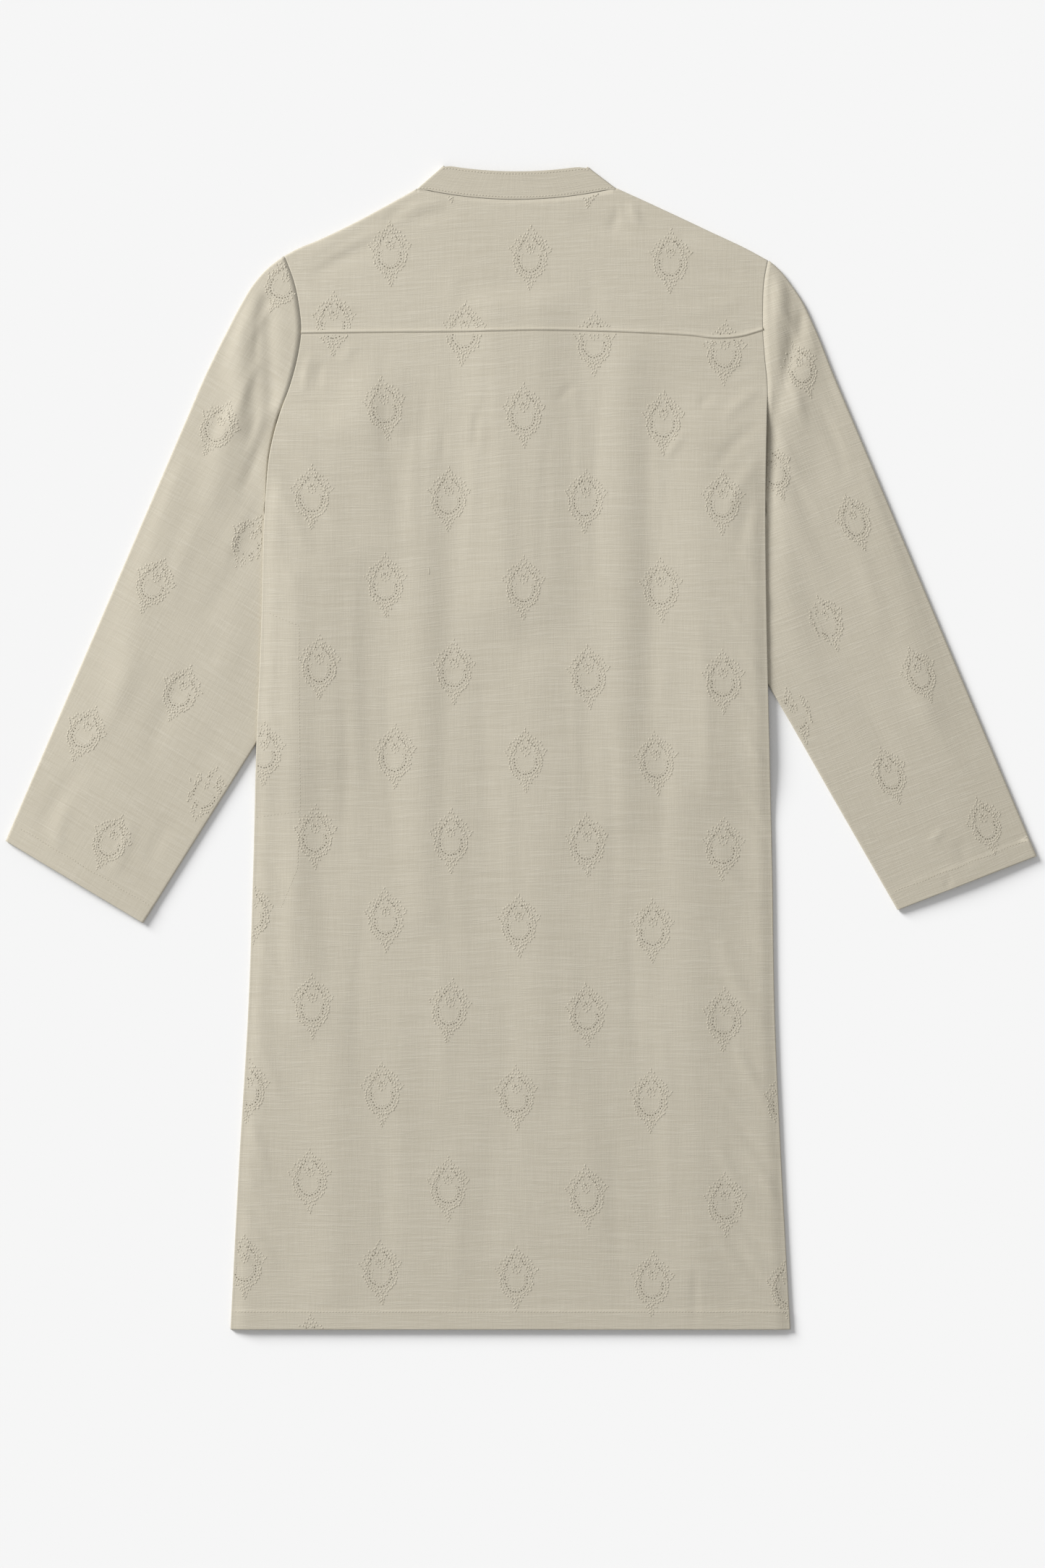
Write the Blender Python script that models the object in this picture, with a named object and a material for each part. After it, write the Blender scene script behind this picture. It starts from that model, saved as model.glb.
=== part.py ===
"""A long-sleeved kurta with a band collar, laid flat with its back up.

Every piece of cloth is a thin wall worked out on a grid of points. The front lies on the surface,
the back lies on the front, and each sleeve is a flattened tube whose inner edge is tucked under the
body's side. Sizes are in millimetres and become metres where a mesh is made. X is across the
garment, Y runs from the hem to the collar, and Z is up, away from the surface it lies on.
Left and right are those of someone looking at the back.
"""

import math

import bmesh
import bpy
import numpy as np

METRES = 0.001

# Cloth and the way its layers lie
WALL = 1.1
GAP = 0.3
SEAM_SHIFT = 0.35
FRONT_MIDDLE = WALL / 2
LAYER_RISE = 3.0
SIDE_SEAM_RISE = WALL + GAP
SLEEVE_EDGE_RISE = 1.9
TUCKED_SLEEVE = SLEEVE_EDGE_RISE + WALL + GAP

# Body: height, left edge and right edge, from the hem up to the shoulder tips
BODY_SECTIONS = np.array(
    (
        (-537.3, -268.0, 248.3),
        (-378.0, -259.7, 239.7),
        (-245.0, -251.7, 233.9),
        (-112.0, -247.0, 231.7),
        (0.0, -244.0, 229.0),
        (110.0, -239.5, 226.5),
        (225.0, -235.8, 225.3),
        (274.0, -231.0, 225.9),
        (306.0, -222.7, 226.6),
        (334.0, -212.6, 227.0),
        (360.0, -205.8, 224.6),
        (385.0, -202.6, 222.9),
        (405.0, -204.4, 222.9),
        (428.0, -209.0, 223.9),
        (453.0, -218.2, 228.4),
    )
)
HEM_HEIGHT = -537.3
ARMPIT_HEIGHT = 225.0
UNDER_BODY_TOP = 285.0
SHOULDER_TIP_HEIGHT = {"left": 452.3, "right": 448.0}

# Shoulder folds: across and height, from the tip to the neck
SHOULDER_FOLD = {
    "left": np.array(
        ((-218.0, 452.3), (-207.0, 458.3), (-187.7, 466.3), (-154.3, 482.3), (-124.3, 498.3), (-95.7, 514.3))
    ),
    "right": np.array(
        ((228.0, 448.0), (209.0, 458.3), (175.0, 474.3), (141.0, 490.3), (106.3, 506.3), (87.0, 515.0))
    ),
}
YOKE_SEAM = np.array(
    (
        (-202.4, 381.0),
        (-120.0, 382.0),
        (-50.0, 382.5),
        (21.7, 383.7),
        (120.0, 381.0),
        (156.0, 379.0),
        (181.7, 376.3),
        (204.0, 378.3),
        (222.6, 383.7),
    )
)

# Neck, collar and placket
NECK_CENTRE = -4.35
NECK_HALF_WIDTH = 91.35
BACK_NECK_LOW = 504.3
BACK_NECK_HIGH = 514.65
FRONT_NECK_TOP = 481.0
FRONT_NECK_DROP = 52.0
COLLAR_HEIGHT = 27.0
COLLAR_BACK_HEIGHT = 26.0
COLLAR_SIDE_LEAN = (24.0, 21.9)
COLLAR_TOP_DIP = 5.9
COLLAR_LEAN_RISE = 1.2
COLLAR_END_GAP = 0.5
PLACKET_WIDTH = 30.0
PLACKET_BOTTOM = 88.0
BUTTON_HEIGHTS = (395.0, 315.0, 235.0, 155.0)
BUTTON_RADIUS = 5.75
BUTTON_THICKNESS = 2.2
BUTTON_SIDES = 20

# Sleeves: height and across, along the outer fold and along the inner edge
SLEEVE_OUTER = {
    "left": np.array(
        (
            (-87.0, -475.0),
            (100.0, -394.7),
            (300.0, -308.9),
            (341.7, -291.0),
            (386.3, -269.0),
            (410.3, -256.3),
            (426.3, -246.3),
            (442.3, -231.7),
            (452.3, -218.4),
        )
    ),
    "right": np.array(
        (
            (-101.0, 475.0),
            (100.0, 390.2),
            (300.0, 305.9),
            (341.7, 288.3),
            (386.3, 270.3),
            (410.3, 259.0),
            (426.3, 248.3),
            (440.0, 237.4),
            (448.0, 228.4),
        )
    ),
}
SLEEVE_INNER = {
    "left": np.array(
        (
            (-162.3, -349.0),
            (-80.0, -297.2),
            (3.0, -245.0),
            (55.0, -213.0),
            (90.0, -199.0),
            (125.0, -197.0),
            (160.0, -209.5),
            (190.0, -226.5),
            (213.0, -236.6),
            (225.0, -236.1),
        )
    ),
    "right": np.array(
        (
            (-150.3, 347.7),
            (-50.0, 290.1),
            (55.0, 229.7),
            (95.0, 205.0),
            (125.0, 193.0),
            (155.0, 197.0),
            (188.0, 214.0),
            (213.0, 225.4),
            (225.0, 225.7),
        )
    ),
}
SLEEVE_LOFT = 1.3
SLEEVE_SPREAD = 20.0
SPREAD_SHARE = 0.03

# Largest soft folds of the back: start across, start height, end across, end height, half width, rise
BACK_FOLDS = (
    (-212.0, 150.0, -200.0, -250.0, 20.0, 1.2),
    (-138.0, 330.0, -134.0, 190.0, 22.0, 1.5),
    (-94.0, 260.0, -90.0, -150.0, 20.0, 1.3),
    (96.0, 355.0, 92.0, -60.0, 22.0, 1.5),
    (14.0, 60.0, 18.0, -300.0, 24.0, 1.0),
    (150.0, -60.0, 162.0, -480.0, 26.0, 1.3),
    (-170.0, -240.0, -176.0, -500.0, 22.0, 1.0),
)
# Drag folds of each sleeve beside the armhole, in the same columns
SLEEVE_FOLDS = {
    "left": (
        (-224.0, 438.0, -232.0, 372.0, 8.0, 1.6),
        (-232.0, 372.0, -230.0, 322.0, 7.0, 1.8),
        (-250.0, 395.0, -249.0, 290.0, 9.0, -0.7),
        (-268.0, 380.0, -285.0, 230.0, 12.0, 1.0),
        (-322.0, 250.0, -368.0, 60.0, 18.0, 1.1),
    ),
    "right": (
        (240.3, 432.0, 233.0, 352.0, 7.5, 2.0),
        (233.0, 352.0, 233.0, 322.0, 6.5, 1.6),
        (254.0, 400.0, 250.0, 300.0, 8.0, -0.7),
        (272.0, 372.0, 292.0, 220.0, 13.0, 1.1),
        (330.0, 240.0, 376.0, 40.0, 18.0, 1.1),
    ),
}

# Grid lines: shares of the body's width out to the neck, and heights up the side seams
SIDE_SHARES = np.array((0.0, 0.009, 0.027, 0.07, 0.115, 0.16, 0.205, 0.25))
NECK_STEPS = 10
FRONT_NECK_STEPS = 5
SIDE_HEIGHTS = np.array(
    (-537.3, -519.3, -440, -350, -260, -170, -105, -70, -35, 0, 50, 110, 170, 225, 252, 274, 300, 320, 340, 360)
)
YOKE_ROWS = np.array((0.0, 0.25, 0.5, 0.75, 1.0))
SLEEVE_ROWS = np.array(
    (0, 0.01, 0.022, 0.04, 0.062, 0.09, 0.13, 0.18, 0.24, 0.31, 0.39, 0.48, 0.57, 0.66, 0.75, 0.85, 0.962, 1)
)
FOLD_ANGLES = np.radians((90.0, 45.0, 0.0, -45.0, -90.0))
POCKET_COLUMNS = slice(2, 8)
POCKET_HEIGHTS = (-170.0, 110.0)
POCKET_LIFT = WALL + 0.4

CLOTH_COLOUR = (0.533, 0.490, 0.395, 1.0)
BUTTON_COLOUR = (0.46, 0.41, 0.32, 1.0)


def through(known, values, wanted):
    """A smooth curve through the known values, read where wanted: a cubic with the slopes of their neighbours."""
    slope = np.gradient(values, known)
    low = np.clip(np.searchsorted(known, wanted) - 1, 0, len(known) - 2)
    step = known[low + 1] - known[low]
    t = (wanted - known[low]) / step
    rise = values[low + 1] - values[low]
    curved = (1 - t) * slope[low] * step - t * slope[low + 1] * step + (2 * t - 1) * rise
    return values[low] + t * rise + t * (1 - t) * curved


def eased(low, high, value):
    """0 below low, 1 above high, and a smooth rise between them."""
    t = np.clip((value - low) / (high - low), 0.0, 1.0)
    return t * t * (3 - 2 * t)


def body_edge(side, height):
    column = 1 if side == "left" else 2
    return through(BODY_SECTIONS[:, 0], BODY_SECTIONS[:, column], height)


def beyond_edge(side, across, height):
    """Distance outside the body's edge, and negative inside it."""
    edge = body_edge(side, np.clip(height, HEM_HEIGHT, BODY_SECTIONS[-1, 0]))
    return edge - across if side == "left" else across - edge


def folds_at(folds, across, height):
    """The sum of soft rounded folds, each highest along its line from start to end."""
    total = np.zeros_like(across)
    for start_x, start_y, end_x, end_y, half_width, rise in folds:
        run_x, run_y = end_x - start_x, end_y - start_y
        share = ((across - start_x) * run_x + (height - start_y) * run_y) / (run_x**2 + run_y**2)
        share = np.clip(share, 0.0, 1.0)
        away = np.hypot(across - start_x - share * run_x, height - start_y - share * run_y)
        total += rise * np.exp(-((away / half_width) ** 2))
    return total


def front_middle_at(across, height):
    """Middle of the front wall: flat on the surface, but raised by the tucked sleeves and by the buttons."""
    up = np.full_like(across, FRONT_MIDDLE)
    for side in ("left", "right"):
        inside = -beyond_edge(side, across, height)
        along = eased(-72.0, -2.0, height) * (1 - eased(UNDER_BODY_TOP, 345.0, height))
        up += TUCKED_SLEEVE * along * (1 - eased(54.0, 110.0, inside))
    near_placket = 1 - eased(PLACKET_WIDTH / 2 + 2, 62.0, np.abs(across - NECK_CENTRE))
    along = eased(PLACKET_BOTTOM + 4, 140.0, height) * (1 - eased(402.0, 428.0, height))
    return up + (BUTTON_THICKNESS + GAP) * near_placket * along


def layer_rise_at(across, height):
    """Height of the back wall's middle over the front wall's, which closes up at the side seams."""
    rise = np.full_like(across, LAYER_RISE)
    for side in ("left", "right"):
        inside = -beyond_edge(side, across, height)
        closing = (1 - eased(0.0, 12.5, inside)) * (1 - eased(ARMPIT_HEIGHT, 274.0, height))
        rise -= (LAYER_RISE - SIDE_SEAM_RISE) * closing
    return rise


def back_middle_at(across, height):
    inside = -np.maximum(beyond_edge("left", across, height), beyond_edge("right", across, height))
    soft = folds_at(BACK_FOLDS, across, height) * eased(6.0, 34.0, inside)
    return front_middle_at(across, height) + layer_rise_at(across, height) + soft


def sleeve_top_at(side, across, height, share):
    """Middle of a sleeve's upper wall: share runs from the inner edge, 0, to the outer fold, 1."""
    outside = beyond_edge(side, across, height)
    free = eased(4.0, 30.0, outside)
    loft = SLEEVE_LOFT * np.sin(np.pi * share) * free
    soft = folds_at(SLEEVE_FOLDS[side], across, height) * eased(3.0, 12.0, outside)
    soft *= eased(0.0, 0.12, share) * eased(0.0, 0.12, 1 - share)
    beside = eased(UNDER_BODY_TOP, 330.0, height) * (1 - eased(0.0, 34.0, outside))
    body_lift = TUCKED_SLEEVE * (1 - eased(UNDER_BODY_TOP, 345.0, height))
    sewn = (LAYER_RISE - SLEEVE_EDGE_RISE + body_lift) * beside
    return FRONT_MIDDLE + SLEEVE_EDGE_RISE + loft + soft + sewn


def patch(bottom, top, left, right, rows, shares, reach):
    """Points between four edges: straight columns, bent near the sides as far as reach to follow them."""
    v = rows[:, None, None]
    straight = bottom[None] * (1 - v) + top[None] * v
    near_left = np.clip(1 - shares / reach, 0, 1)[None, :, None] ** 2
    near_right = np.clip(1 - (1 - shares) / reach, 0, 1)[None, :, None] ** 2
    bent = straight + near_left * (left[:, None] - straight[:, :1])
    return bent + near_right * (right[:, None] - straight[:, -1:])


def along_curve(points, shares):
    """Points at these shares of a curve's length."""
    length = np.concatenate(((0.0,), np.cumsum(np.hypot(*np.diff(points, axis=0).T))))
    wanted = shares * length[-1]
    return np.stack([np.interp(wanted, length, points[:, k]) for k in (0, 1)], axis=-1)


def with_height(plan, up):
    return np.concatenate((plan, up[..., None]), axis=-1)


def cloth_material(name, colour, roughness):
    material = bpy.data.materials.new(name)
    material.use_nodes = True
    shader = material.node_tree.nodes["Principled BSDF"]
    shader.inputs["Base Color"].default_value = colour
    shader.inputs["Roughness"].default_value = roughness
    shader.inputs["Metallic"].default_value = 0.0
    return material


def make_object(name, points, faces, colour=CLOTH_COLOUR, roughness=0.9):
    """An object from points in millimetres, with its faces turned outwards and shaded smooth."""
    used = np.unique([corner for face in faces for corner in face])
    place = {int(old): new for new, old in enumerate(used)}
    mesh = bpy.data.meshes.new(name)
    mesh.from_pydata((points[used] * METRES).tolist(), [], [[place[int(c)] for c in face] for face in faces])
    shape = bmesh.new()
    shape.from_mesh(mesh)
    bmesh.ops.triangulate(shape, faces=shape.faces[:])
    bmesh.ops.recalc_face_normals(shape, faces=shape.faces[:])
    shape.to_mesh(mesh)
    shape.free()
    mesh.shade_smooth()
    mesh.set_sharp_from_angle(angle=math.radians(50))
    mesh.materials.append(cloth_material(name + "_cloth", colour, roughness))
    made = bpy.data.objects.new(name, mesh)
    bpy.context.scene.collection.objects.link(made)
    return made


def wall(name, middle, tube=False, kept=None):
    """A wall of cloth about a grid of middle points: both faces, and rims where a face has no neighbour."""
    rows, columns = middle.shape[:2]
    index = np.arange(rows * columns).reshape(rows, columns)
    if tube:
        index = np.concatenate((index, index[:, :1]), axis=1)
    quads = np.stack((index[:-1, :-1], index[:-1, 1:], index[1:, 1:], index[1:, :-1]), axis=-1)
    quads = quads.reshape(-1, 4) if kept is None else quads[kept]
    points = middle.reshape(-1, 3)
    diagonals = points[quads[:, 2]] - points[quads[:, 0]], points[quads[:, 3]] - points[quads[:, 1]]
    facing = np.cross(*diagonals)
    normal = np.zeros_like(points)
    for corner in range(4):
        np.add.at(normal, quads[:, corner], facing)
    normal /= np.maximum(np.linalg.norm(normal, axis=1, keepdims=True), 1e-9)
    both = np.concatenate((points + normal * WALL / 2, points - normal * WALL / 2))
    other = len(points)
    edges = {}
    for quad in quads.tolist():
        for start, end in zip(quad, quad[1:] + quad[:1]):
            edges[(start, end)] = True
    rim = [(b, a, a + other, b + other) for a, b in edges if (b, a) not in edges]
    faces = quads.tolist() + (quads[:, ::-1] + other).tolist() + rim
    return make_object(name, both, faces)


def shares_across():
    """Shares of the body's width, from left to right, for the yoke and the back."""
    middle = np.linspace(SIDE_SHARES[-1], 1 - SIDE_SHARES[-1], NECK_STEPS + 1)[1:-1]
    return np.concatenate((SIDE_SHARES, middle, 1 - SIDE_SHARES[::-1]))


def seam_row():
    across = YOKE_SEAM[0, 0] + shares_across() * (YOKE_SEAM[-1, 0] - YOKE_SEAM[0, 0])
    return np.stack((across, through(YOKE_SEAM[:, 0], YOKE_SEAM[:, 1], across)), axis=-1)


def shoulder_row(side):
    """Points along a shoulder fold, from its tip to the neck."""
    fold = SHOULDER_FOLD[side]
    across = fold[0, 0] + SIDE_SHARES / SIDE_SHARES[-1] * (fold[-1, 0] - fold[0, 0])
    sign = 1 if side == "left" else -1
    return np.stack((across, through(sign * fold[:, 0], fold[:, 1], sign * across)), axis=-1)


def back_neck_height(across):
    return BACK_NECK_LOW + (BACK_NECK_HIGH - BACK_NECK_LOW) * ((across - NECK_CENTRE) / NECK_HALF_WIDTH) ** 2


def upper_armhole(side):
    """Points up the armhole beside the yoke, from its seam to the shoulder tip."""
    low = YOKE_SEAM[0 if side == "left" else -1, 1]
    height = low + YOKE_ROWS * (SHOULDER_TIP_HEIGHT[side] - low)
    return np.stack((body_edge(side, height), height), axis=-1)


def side_points(side):
    """Points up the side seam and the lower armhole, from the hem to just under the yoke seam."""
    return np.stack((body_edge(side, SIDE_HEIGHTS), SIDE_HEIGHTS), axis=-1)


def yoke_plan():
    left, right = shoulder_row("left"), shoulder_row("right")
    across = np.linspace(left[-1, 0], right[-1, 0], NECK_STEPS + 1)[1:-1]
    neck = np.stack((across, back_neck_height(across)), axis=-1)
    top = np.concatenate((left, neck, right[::-1]))
    bottom = seam_row() + (0.0, GAP / 2)
    sides = [upper_armhole(side) for side in ("left", "right")]
    return patch(bottom, top, *sides, YOKE_ROWS, shares_across(), 0.4)


def make_back_yoke(plan):
    """The yoke: a flat back, folded over at both shoulders to a narrow strip on the front."""
    flat = with_height(plan, back_middle_at(plan[..., 0], plan[..., 1]))
    radius = LAYER_RISE / 2
    toward = plan[-2] - plan[-1]
    toward /= np.linalg.norm(toward, axis=1, keepdims=True)
    fold = []
    for angle in FOLD_ANGLES:
        place = plan[-1] + toward * radius * (1 - math.cos(angle))
        fold.append(with_height(place, np.full(len(place), FRONT_MIDDLE + radius * (1 + math.sin(angle)))))
    shoulders = len(SIDE_SHARES)
    fold = np.array(fold)
    neck = slice(shoulders, -shoulders)
    fold[0, neck, :2] = plan[-1, neck]
    front_edge = with_height(plan[-2], np.full(plan.shape[1], FRONT_MIDDLE))
    middle = np.concatenate((flat[:-1], fold, front_edge[None]))
    kept = np.ones((middle.shape[0] - 1, middle.shape[1] - 1), bool)
    kept[len(flat) - 1 :, shoulders - 1 : -(shoulders - 1)] = False
    wall("back_yoke", middle, kept=kept)
    return middle


def make_back_panel():
    hem_left, hem_right = BODY_SECTIONS[0, 1:]
    shares = shares_across()
    hem = np.stack((hem_left + shares * (hem_right - hem_left), np.full(len(shares), HEM_HEIGHT)), axis=-1)
    seam = seam_row() - (0.0, GAP / 2)
    sides = [np.concatenate((side_points(side), seam[[end]])) for side, end in (("left", 0), ("right", -1))]
    rows = (sides[0][:, 1] - HEM_HEIGHT) / (sides[0][-1, 1] - HEM_HEIGHT)
    plan = patch(hem, seam, *sides, rows, shares, 0.4)
    wall("back_panel", with_height(plan, back_middle_at(plan[..., 0], plan[..., 1])))


def front_neck_turn():
    """Angles round the front neckline's quarter ellipse, from the yoke's front edge down to the placket."""
    last = math.acos((PLACKET_WIDTH / 2 + GAP) / NECK_HALF_WIDTH)
    return np.linspace(0.0, last, FRONT_NECK_STEPS + 1)


def front_neck(side):
    sign = -1 if side == "left" else 1
    turn = front_neck_turn()
    across = NECK_CENTRE + sign * NECK_HALF_WIDTH * np.cos(turn)
    return np.stack((across, FRONT_NECK_TOP - FRONT_NECK_DROP * np.sin(turn)), axis=-1)


def make_front_panel(yoke):
    """The front, its points also carry the pocket bag, so they are given back."""
    shoulders = len(SIDE_SHARES)
    yoke_edge = yoke[-2] - (0.0, GAP)
    left_neck, right_neck = front_neck("left"), front_neck("right")[::-1]
    top = np.concatenate((yoke_edge[:shoulders], left_neck[1:], right_neck[:-1], yoke_edge[-shoulders:]))
    hem_left, hem_right = BODY_SECTIONS[0, 1:]
    width = hem_right - hem_left
    slot = left_neck[-1, 0], right_neck[0, 0]
    left = hem_left + SIDE_SHARES * width
    right = hem_right - SIDE_SHARES[::-1] * width
    inner_left = np.linspace(left[-1], slot[0], FRONT_NECK_STEPS + 1)[1:]
    inner_right = np.linspace(slot[1], right[0], FRONT_NECK_STEPS + 1)[:-1]
    across = np.concatenate((left, inner_left, inner_right, right))
    hem = np.stack((across, np.full(len(across), HEM_HEIGHT)), axis=-1)
    sides = []
    for side, end in (("left", 0), ("right", -1)):
        upper = upper_armhole(side)[:-2]
        sides.append(np.concatenate((side_points(side), upper, top[[end]])))
    heights = sides[0][:, 1]
    slot_top = left_neck[-1, 1]
    rows = (heights - HEM_HEIGHT) / (heights[-1] - HEM_HEIGHT)
    slot_row = np.argmin(np.abs(rows - (PLACKET_BOTTOM - HEM_HEIGHT) / (slot_top - HEM_HEIGHT)))
    rows[slot_row] = (PLACKET_BOTTOM - HEM_HEIGHT) / (slot_top - HEM_HEIGHT)
    plan = patch(hem, top, *sides, rows, (across - hem_left) / width, 0.4)
    kept = np.ones((len(rows) - 1, len(across) - 1), bool)
    kept[slot_row:, shoulders + FRONT_NECK_STEPS - 1] = False
    middle = with_height(plan, front_middle_at(plan[..., 0], plan[..., 1]))
    wall("front_panel", middle, kept=kept)
    return middle


def make_placket():
    """The strip that fills the front's slot, on the same level as the cloth beside it."""
    top = FRONT_NECK_TOP - FRONT_NECK_DROP - SEAM_SHIFT
    heights = np.linspace(PLACKET_BOTTOM + GAP, top, 17)
    across = NECK_CENTRE + PLACKET_WIDTH * np.linspace(-0.5, 0.5, 3)
    plan = np.stack(np.meshgrid(across, heights), axis=-1)
    wall("placket", with_height(plan, front_middle_at(plan[..., 0], plan[..., 1])))


def make_pocket_bag(front):
    """The pocket's bag lies on the front, so it is made from the front's own points, moved up."""
    heights = front[:, 0, 1]
    rows = (heights >= POCKET_HEIGHTS[0] - 1) & (heights <= POCKET_HEIGHTS[1] + 1)
    wall("pocket_bag", front[rows, POCKET_COLUMNS] + (0.0, 0.0, POCKET_LIFT))


def make_collar(yoke):
    """The band collar: its lower edge follows the neck all round, and a leaning line gives its height."""
    shoulders = len(SIDE_SHARES)
    turned_rows = len(YOKE_ROWS) - 1

    def front_half(side):
        sign = 1 if side == "left" else -1
        end = math.acos(COLLAR_END_GAP / NECK_HALF_WIDTH)
        turn = np.concatenate(((end,), front_neck_turn()[::-1]))
        start = NECK_CENTRE - sign * NECK_HALF_WIDTH * np.cos(turn)
        outward = np.stack((-sign * np.cos(turn) * FRONT_NECK_DROP, -np.sin(turn) * NECK_HALF_WIDTH), axis=-1)
        outward /= np.linalg.norm(outward, axis=1, keepdims=True)
        plan = np.stack((start, FRONT_NECK_TOP - FRONT_NECK_DROP * np.sin(turn)), axis=-1)
        points = with_height(plan - outward * SEAM_SHIFT, np.full(len(turn), FRONT_MIDDLE))
        leans = with_height(-outward * COLLAR_HEIGHT, np.zeros(len(turn)))
        column = shoulders - 1 if side == "left" else -shoulders
        fold = yoke[turned_rows : turned_rows + len(FOLD_ANGLES), column][::-1]
        fold = fold + (sign * SEAM_SHIFT, 0.0, 0.0)
        half_way = (points[-1] + fold[0]) / 2
        side_lean = np.array((sign * COLLAR_SIDE_LEAN[0], COLLAR_SIDE_LEAN[1], 0.0))
        bent = (leans[-1] + side_lean) / 2
        points = np.concatenate((points, half_way[None], fold))
        fold_leans = np.repeat(side_lean[None], len(fold), axis=0)
        fold_leans[:, 2] = np.linspace(0.0, COLLAR_LEAN_RISE, len(fold))
        return points, np.concatenate((leans, bent[None], fold_leans))

    left_points, left_leans = front_half("left")
    right_points, right_leans = front_half("right")
    back = yoke[turned_rows, shoulders:-shoulders] + (0.0, SEAM_SHIFT, 0.0)
    left_points[-1, 1] += SEAM_SHIFT
    right_points[-1, 1] += SEAM_SHIFT
    share = (back[:, 0] - NECK_CENTRE) / NECK_HALF_WIDTH
    top = BACK_NECK_LOW + COLLAR_BACK_HEIGHT + COLLAR_TOP_DIP * share**2
    rise = np.full(len(back), COLLAR_LEAN_RISE)
    back_leans = np.stack((-share * COLLAR_SIDE_LEAN[0], top - back[:, 1], rise), axis=-1)
    lower = np.concatenate((left_points, back, right_points[::-1]))
    lean = np.concatenate((left_leans, back_leans, right_leans[::-1]))
    middle = np.stack([lower + lean * part for part in (0.0, 0.5, 1.0)])
    wall("collar", middle)


def make_sleeve(side):
    """A flattened tube: across the upper wall, round the outer fold, back below, and round the inner edge."""
    sign = -1 if side == "left" else 1
    lower_armhole = side_points(side)[SIDE_HEIGHTS >= ARMPIT_HEIGHT]
    armhole = np.concatenate((lower_armhole, upper_armhole(side))) + (sign * SEAM_SHIFT, 0.0)
    edges = {}
    for name, table in (("inner", SLEEVE_INNER[side]), ("outer", SLEEVE_OUTER[side])):
        heights = np.linspace(table[-1, 0], table[0, 0], 200)
        edges[name] = np.stack((through(table[:, 0], table[:, 1], heights), heights), axis=-1)
    armhole[0], armhole[-1] = edges["inner"][0], edges["outer"][0]
    shares = np.linspace(0.0, 1.0, len(armhole))
    cuff = edges["inner"][-1] + shares[:, None] * (edges["outer"][-1] - edges["inner"][-1])
    inner = along_curve(edges["inner"], SLEEVE_ROWS)
    outer = along_curve(edges["outer"], SLEEVE_ROWS)
    v = SLEEVE_ROWS[:, None, None]
    straight = armhole[None] * (1 - v) + cuff[None] * v
    near_inner = np.clip(1 - shares / 0.25, 0, 1)[None, :, None] ** 2
    near_outer = shares[None, :, None]
    plan = straight + near_inner * (inner[:, None] - straight[:, :1])
    plan = plan + near_outer * (outer[:, None] - straight[:, -1:])
    spread = SLEEVE_SPREAD * 4 * shares * (1 - shares) * (1 - np.exp(-v[..., 0] / SPREAD_SHARE)) * (1 - v[..., 0])
    plan[..., 0] += sign * spread
    top = sleeve_top_at(side, plan[..., 0], plan[..., 1], np.broadcast_to(shares, plan.shape[:2]))

    def fold(edge, turn, angles):
        """A half round from the upper wall to the lower one, square to the edge and inside it by its radius."""
        radius = (top[:, edge] - FRONT_MIDDLE) / 2
        along = np.gradient(plan[:, edge], axis=0)
        toward = turn * sign * along[:, ::-1] * (1.0, -1.0)
        toward[0] = armhole[1] - armhole[0] if edge == 0 else armhole[-2] - armhole[-1]
        toward /= np.linalg.norm(toward, axis=1, keepdims=True)
        turned = []
        for angle in angles:
            place = plan[:, edge] + toward * (radius * (1 - math.cos(angle)))[:, None]
            turned.append(with_height(place, FRONT_MIDDLE + radius * (1 + math.sin(angle))))
        return np.stack(turned, axis=1)

    upper = with_height(plan[:, 1:-1], top[:, 1:-1])
    lower = with_height(plan[:, 1:-1], np.full(plan[:, 1:-1].shape[:2], FRONT_MIDDLE))[:, ::-1]
    ring = (upper, fold(-1, 1, FOLD_ANGLES), lower, fold(0, -1, FOLD_ANGLES[::-1]))
    wall("sleeve_" + side, np.concatenate(ring, axis=1), tube=True)


def make_button(number, height):
    """A flat disc with a rounded rim and a shallow dish, turned about its own axis."""
    profile = np.array(
        ((0.0, 0.0), (0.86, 0.0), (1.0, 0.3), (1.0, 0.7), (0.9, 1.0), (0.72, 1.0), (0.6, 0.8), (0.0, 0.8))
    ) * (BUTTON_RADIUS, BUTTON_THICKNESS)
    turn = np.arange(BUTTON_SIDES) * math.tau / BUTTON_SIDES
    ring = profile[1:-1]
    x = NECK_CENTRE + ring[:, None, 0] * np.cos(turn)
    y = height + ring[:, None, 0] * np.sin(turn)
    z = np.broadcast_to(ring[:, None, 1], x.shape)
    points = np.stack((x, y, z), axis=-1).reshape(-1, 3)
    index = np.arange(len(points)).reshape(len(ring), BUTTON_SIDES)
    following = np.roll(index, -1, axis=1)
    faces = np.stack((index[:-1], following[:-1], following[1:], index[1:]), axis=-1).reshape(-1, 4).tolist()
    faces += [index[0].tolist(), index[-1].tolist()]
    make_object(f"button_{number}", points, faces, BUTTON_COLOUR, 0.45)


def clear_scene():
    for old in list(bpy.data.objects):
        bpy.data.objects.remove(old, do_unlink=True)


clear_scene()
yoke_points = yoke_plan()
yoke_middle = make_back_yoke(yoke_points)
make_back_panel()
front_points = make_front_panel(yoke_points)
make_placket()
make_pocket_bag(front_points)
make_collar(yoke_middle)
for sleeve_side in ("left", "right"):
    make_sleeve(sleeve_side)
for button_number, button_height in enumerate(BUTTON_HEIGHTS, start=1):
    make_button(button_number, button_height)
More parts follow.
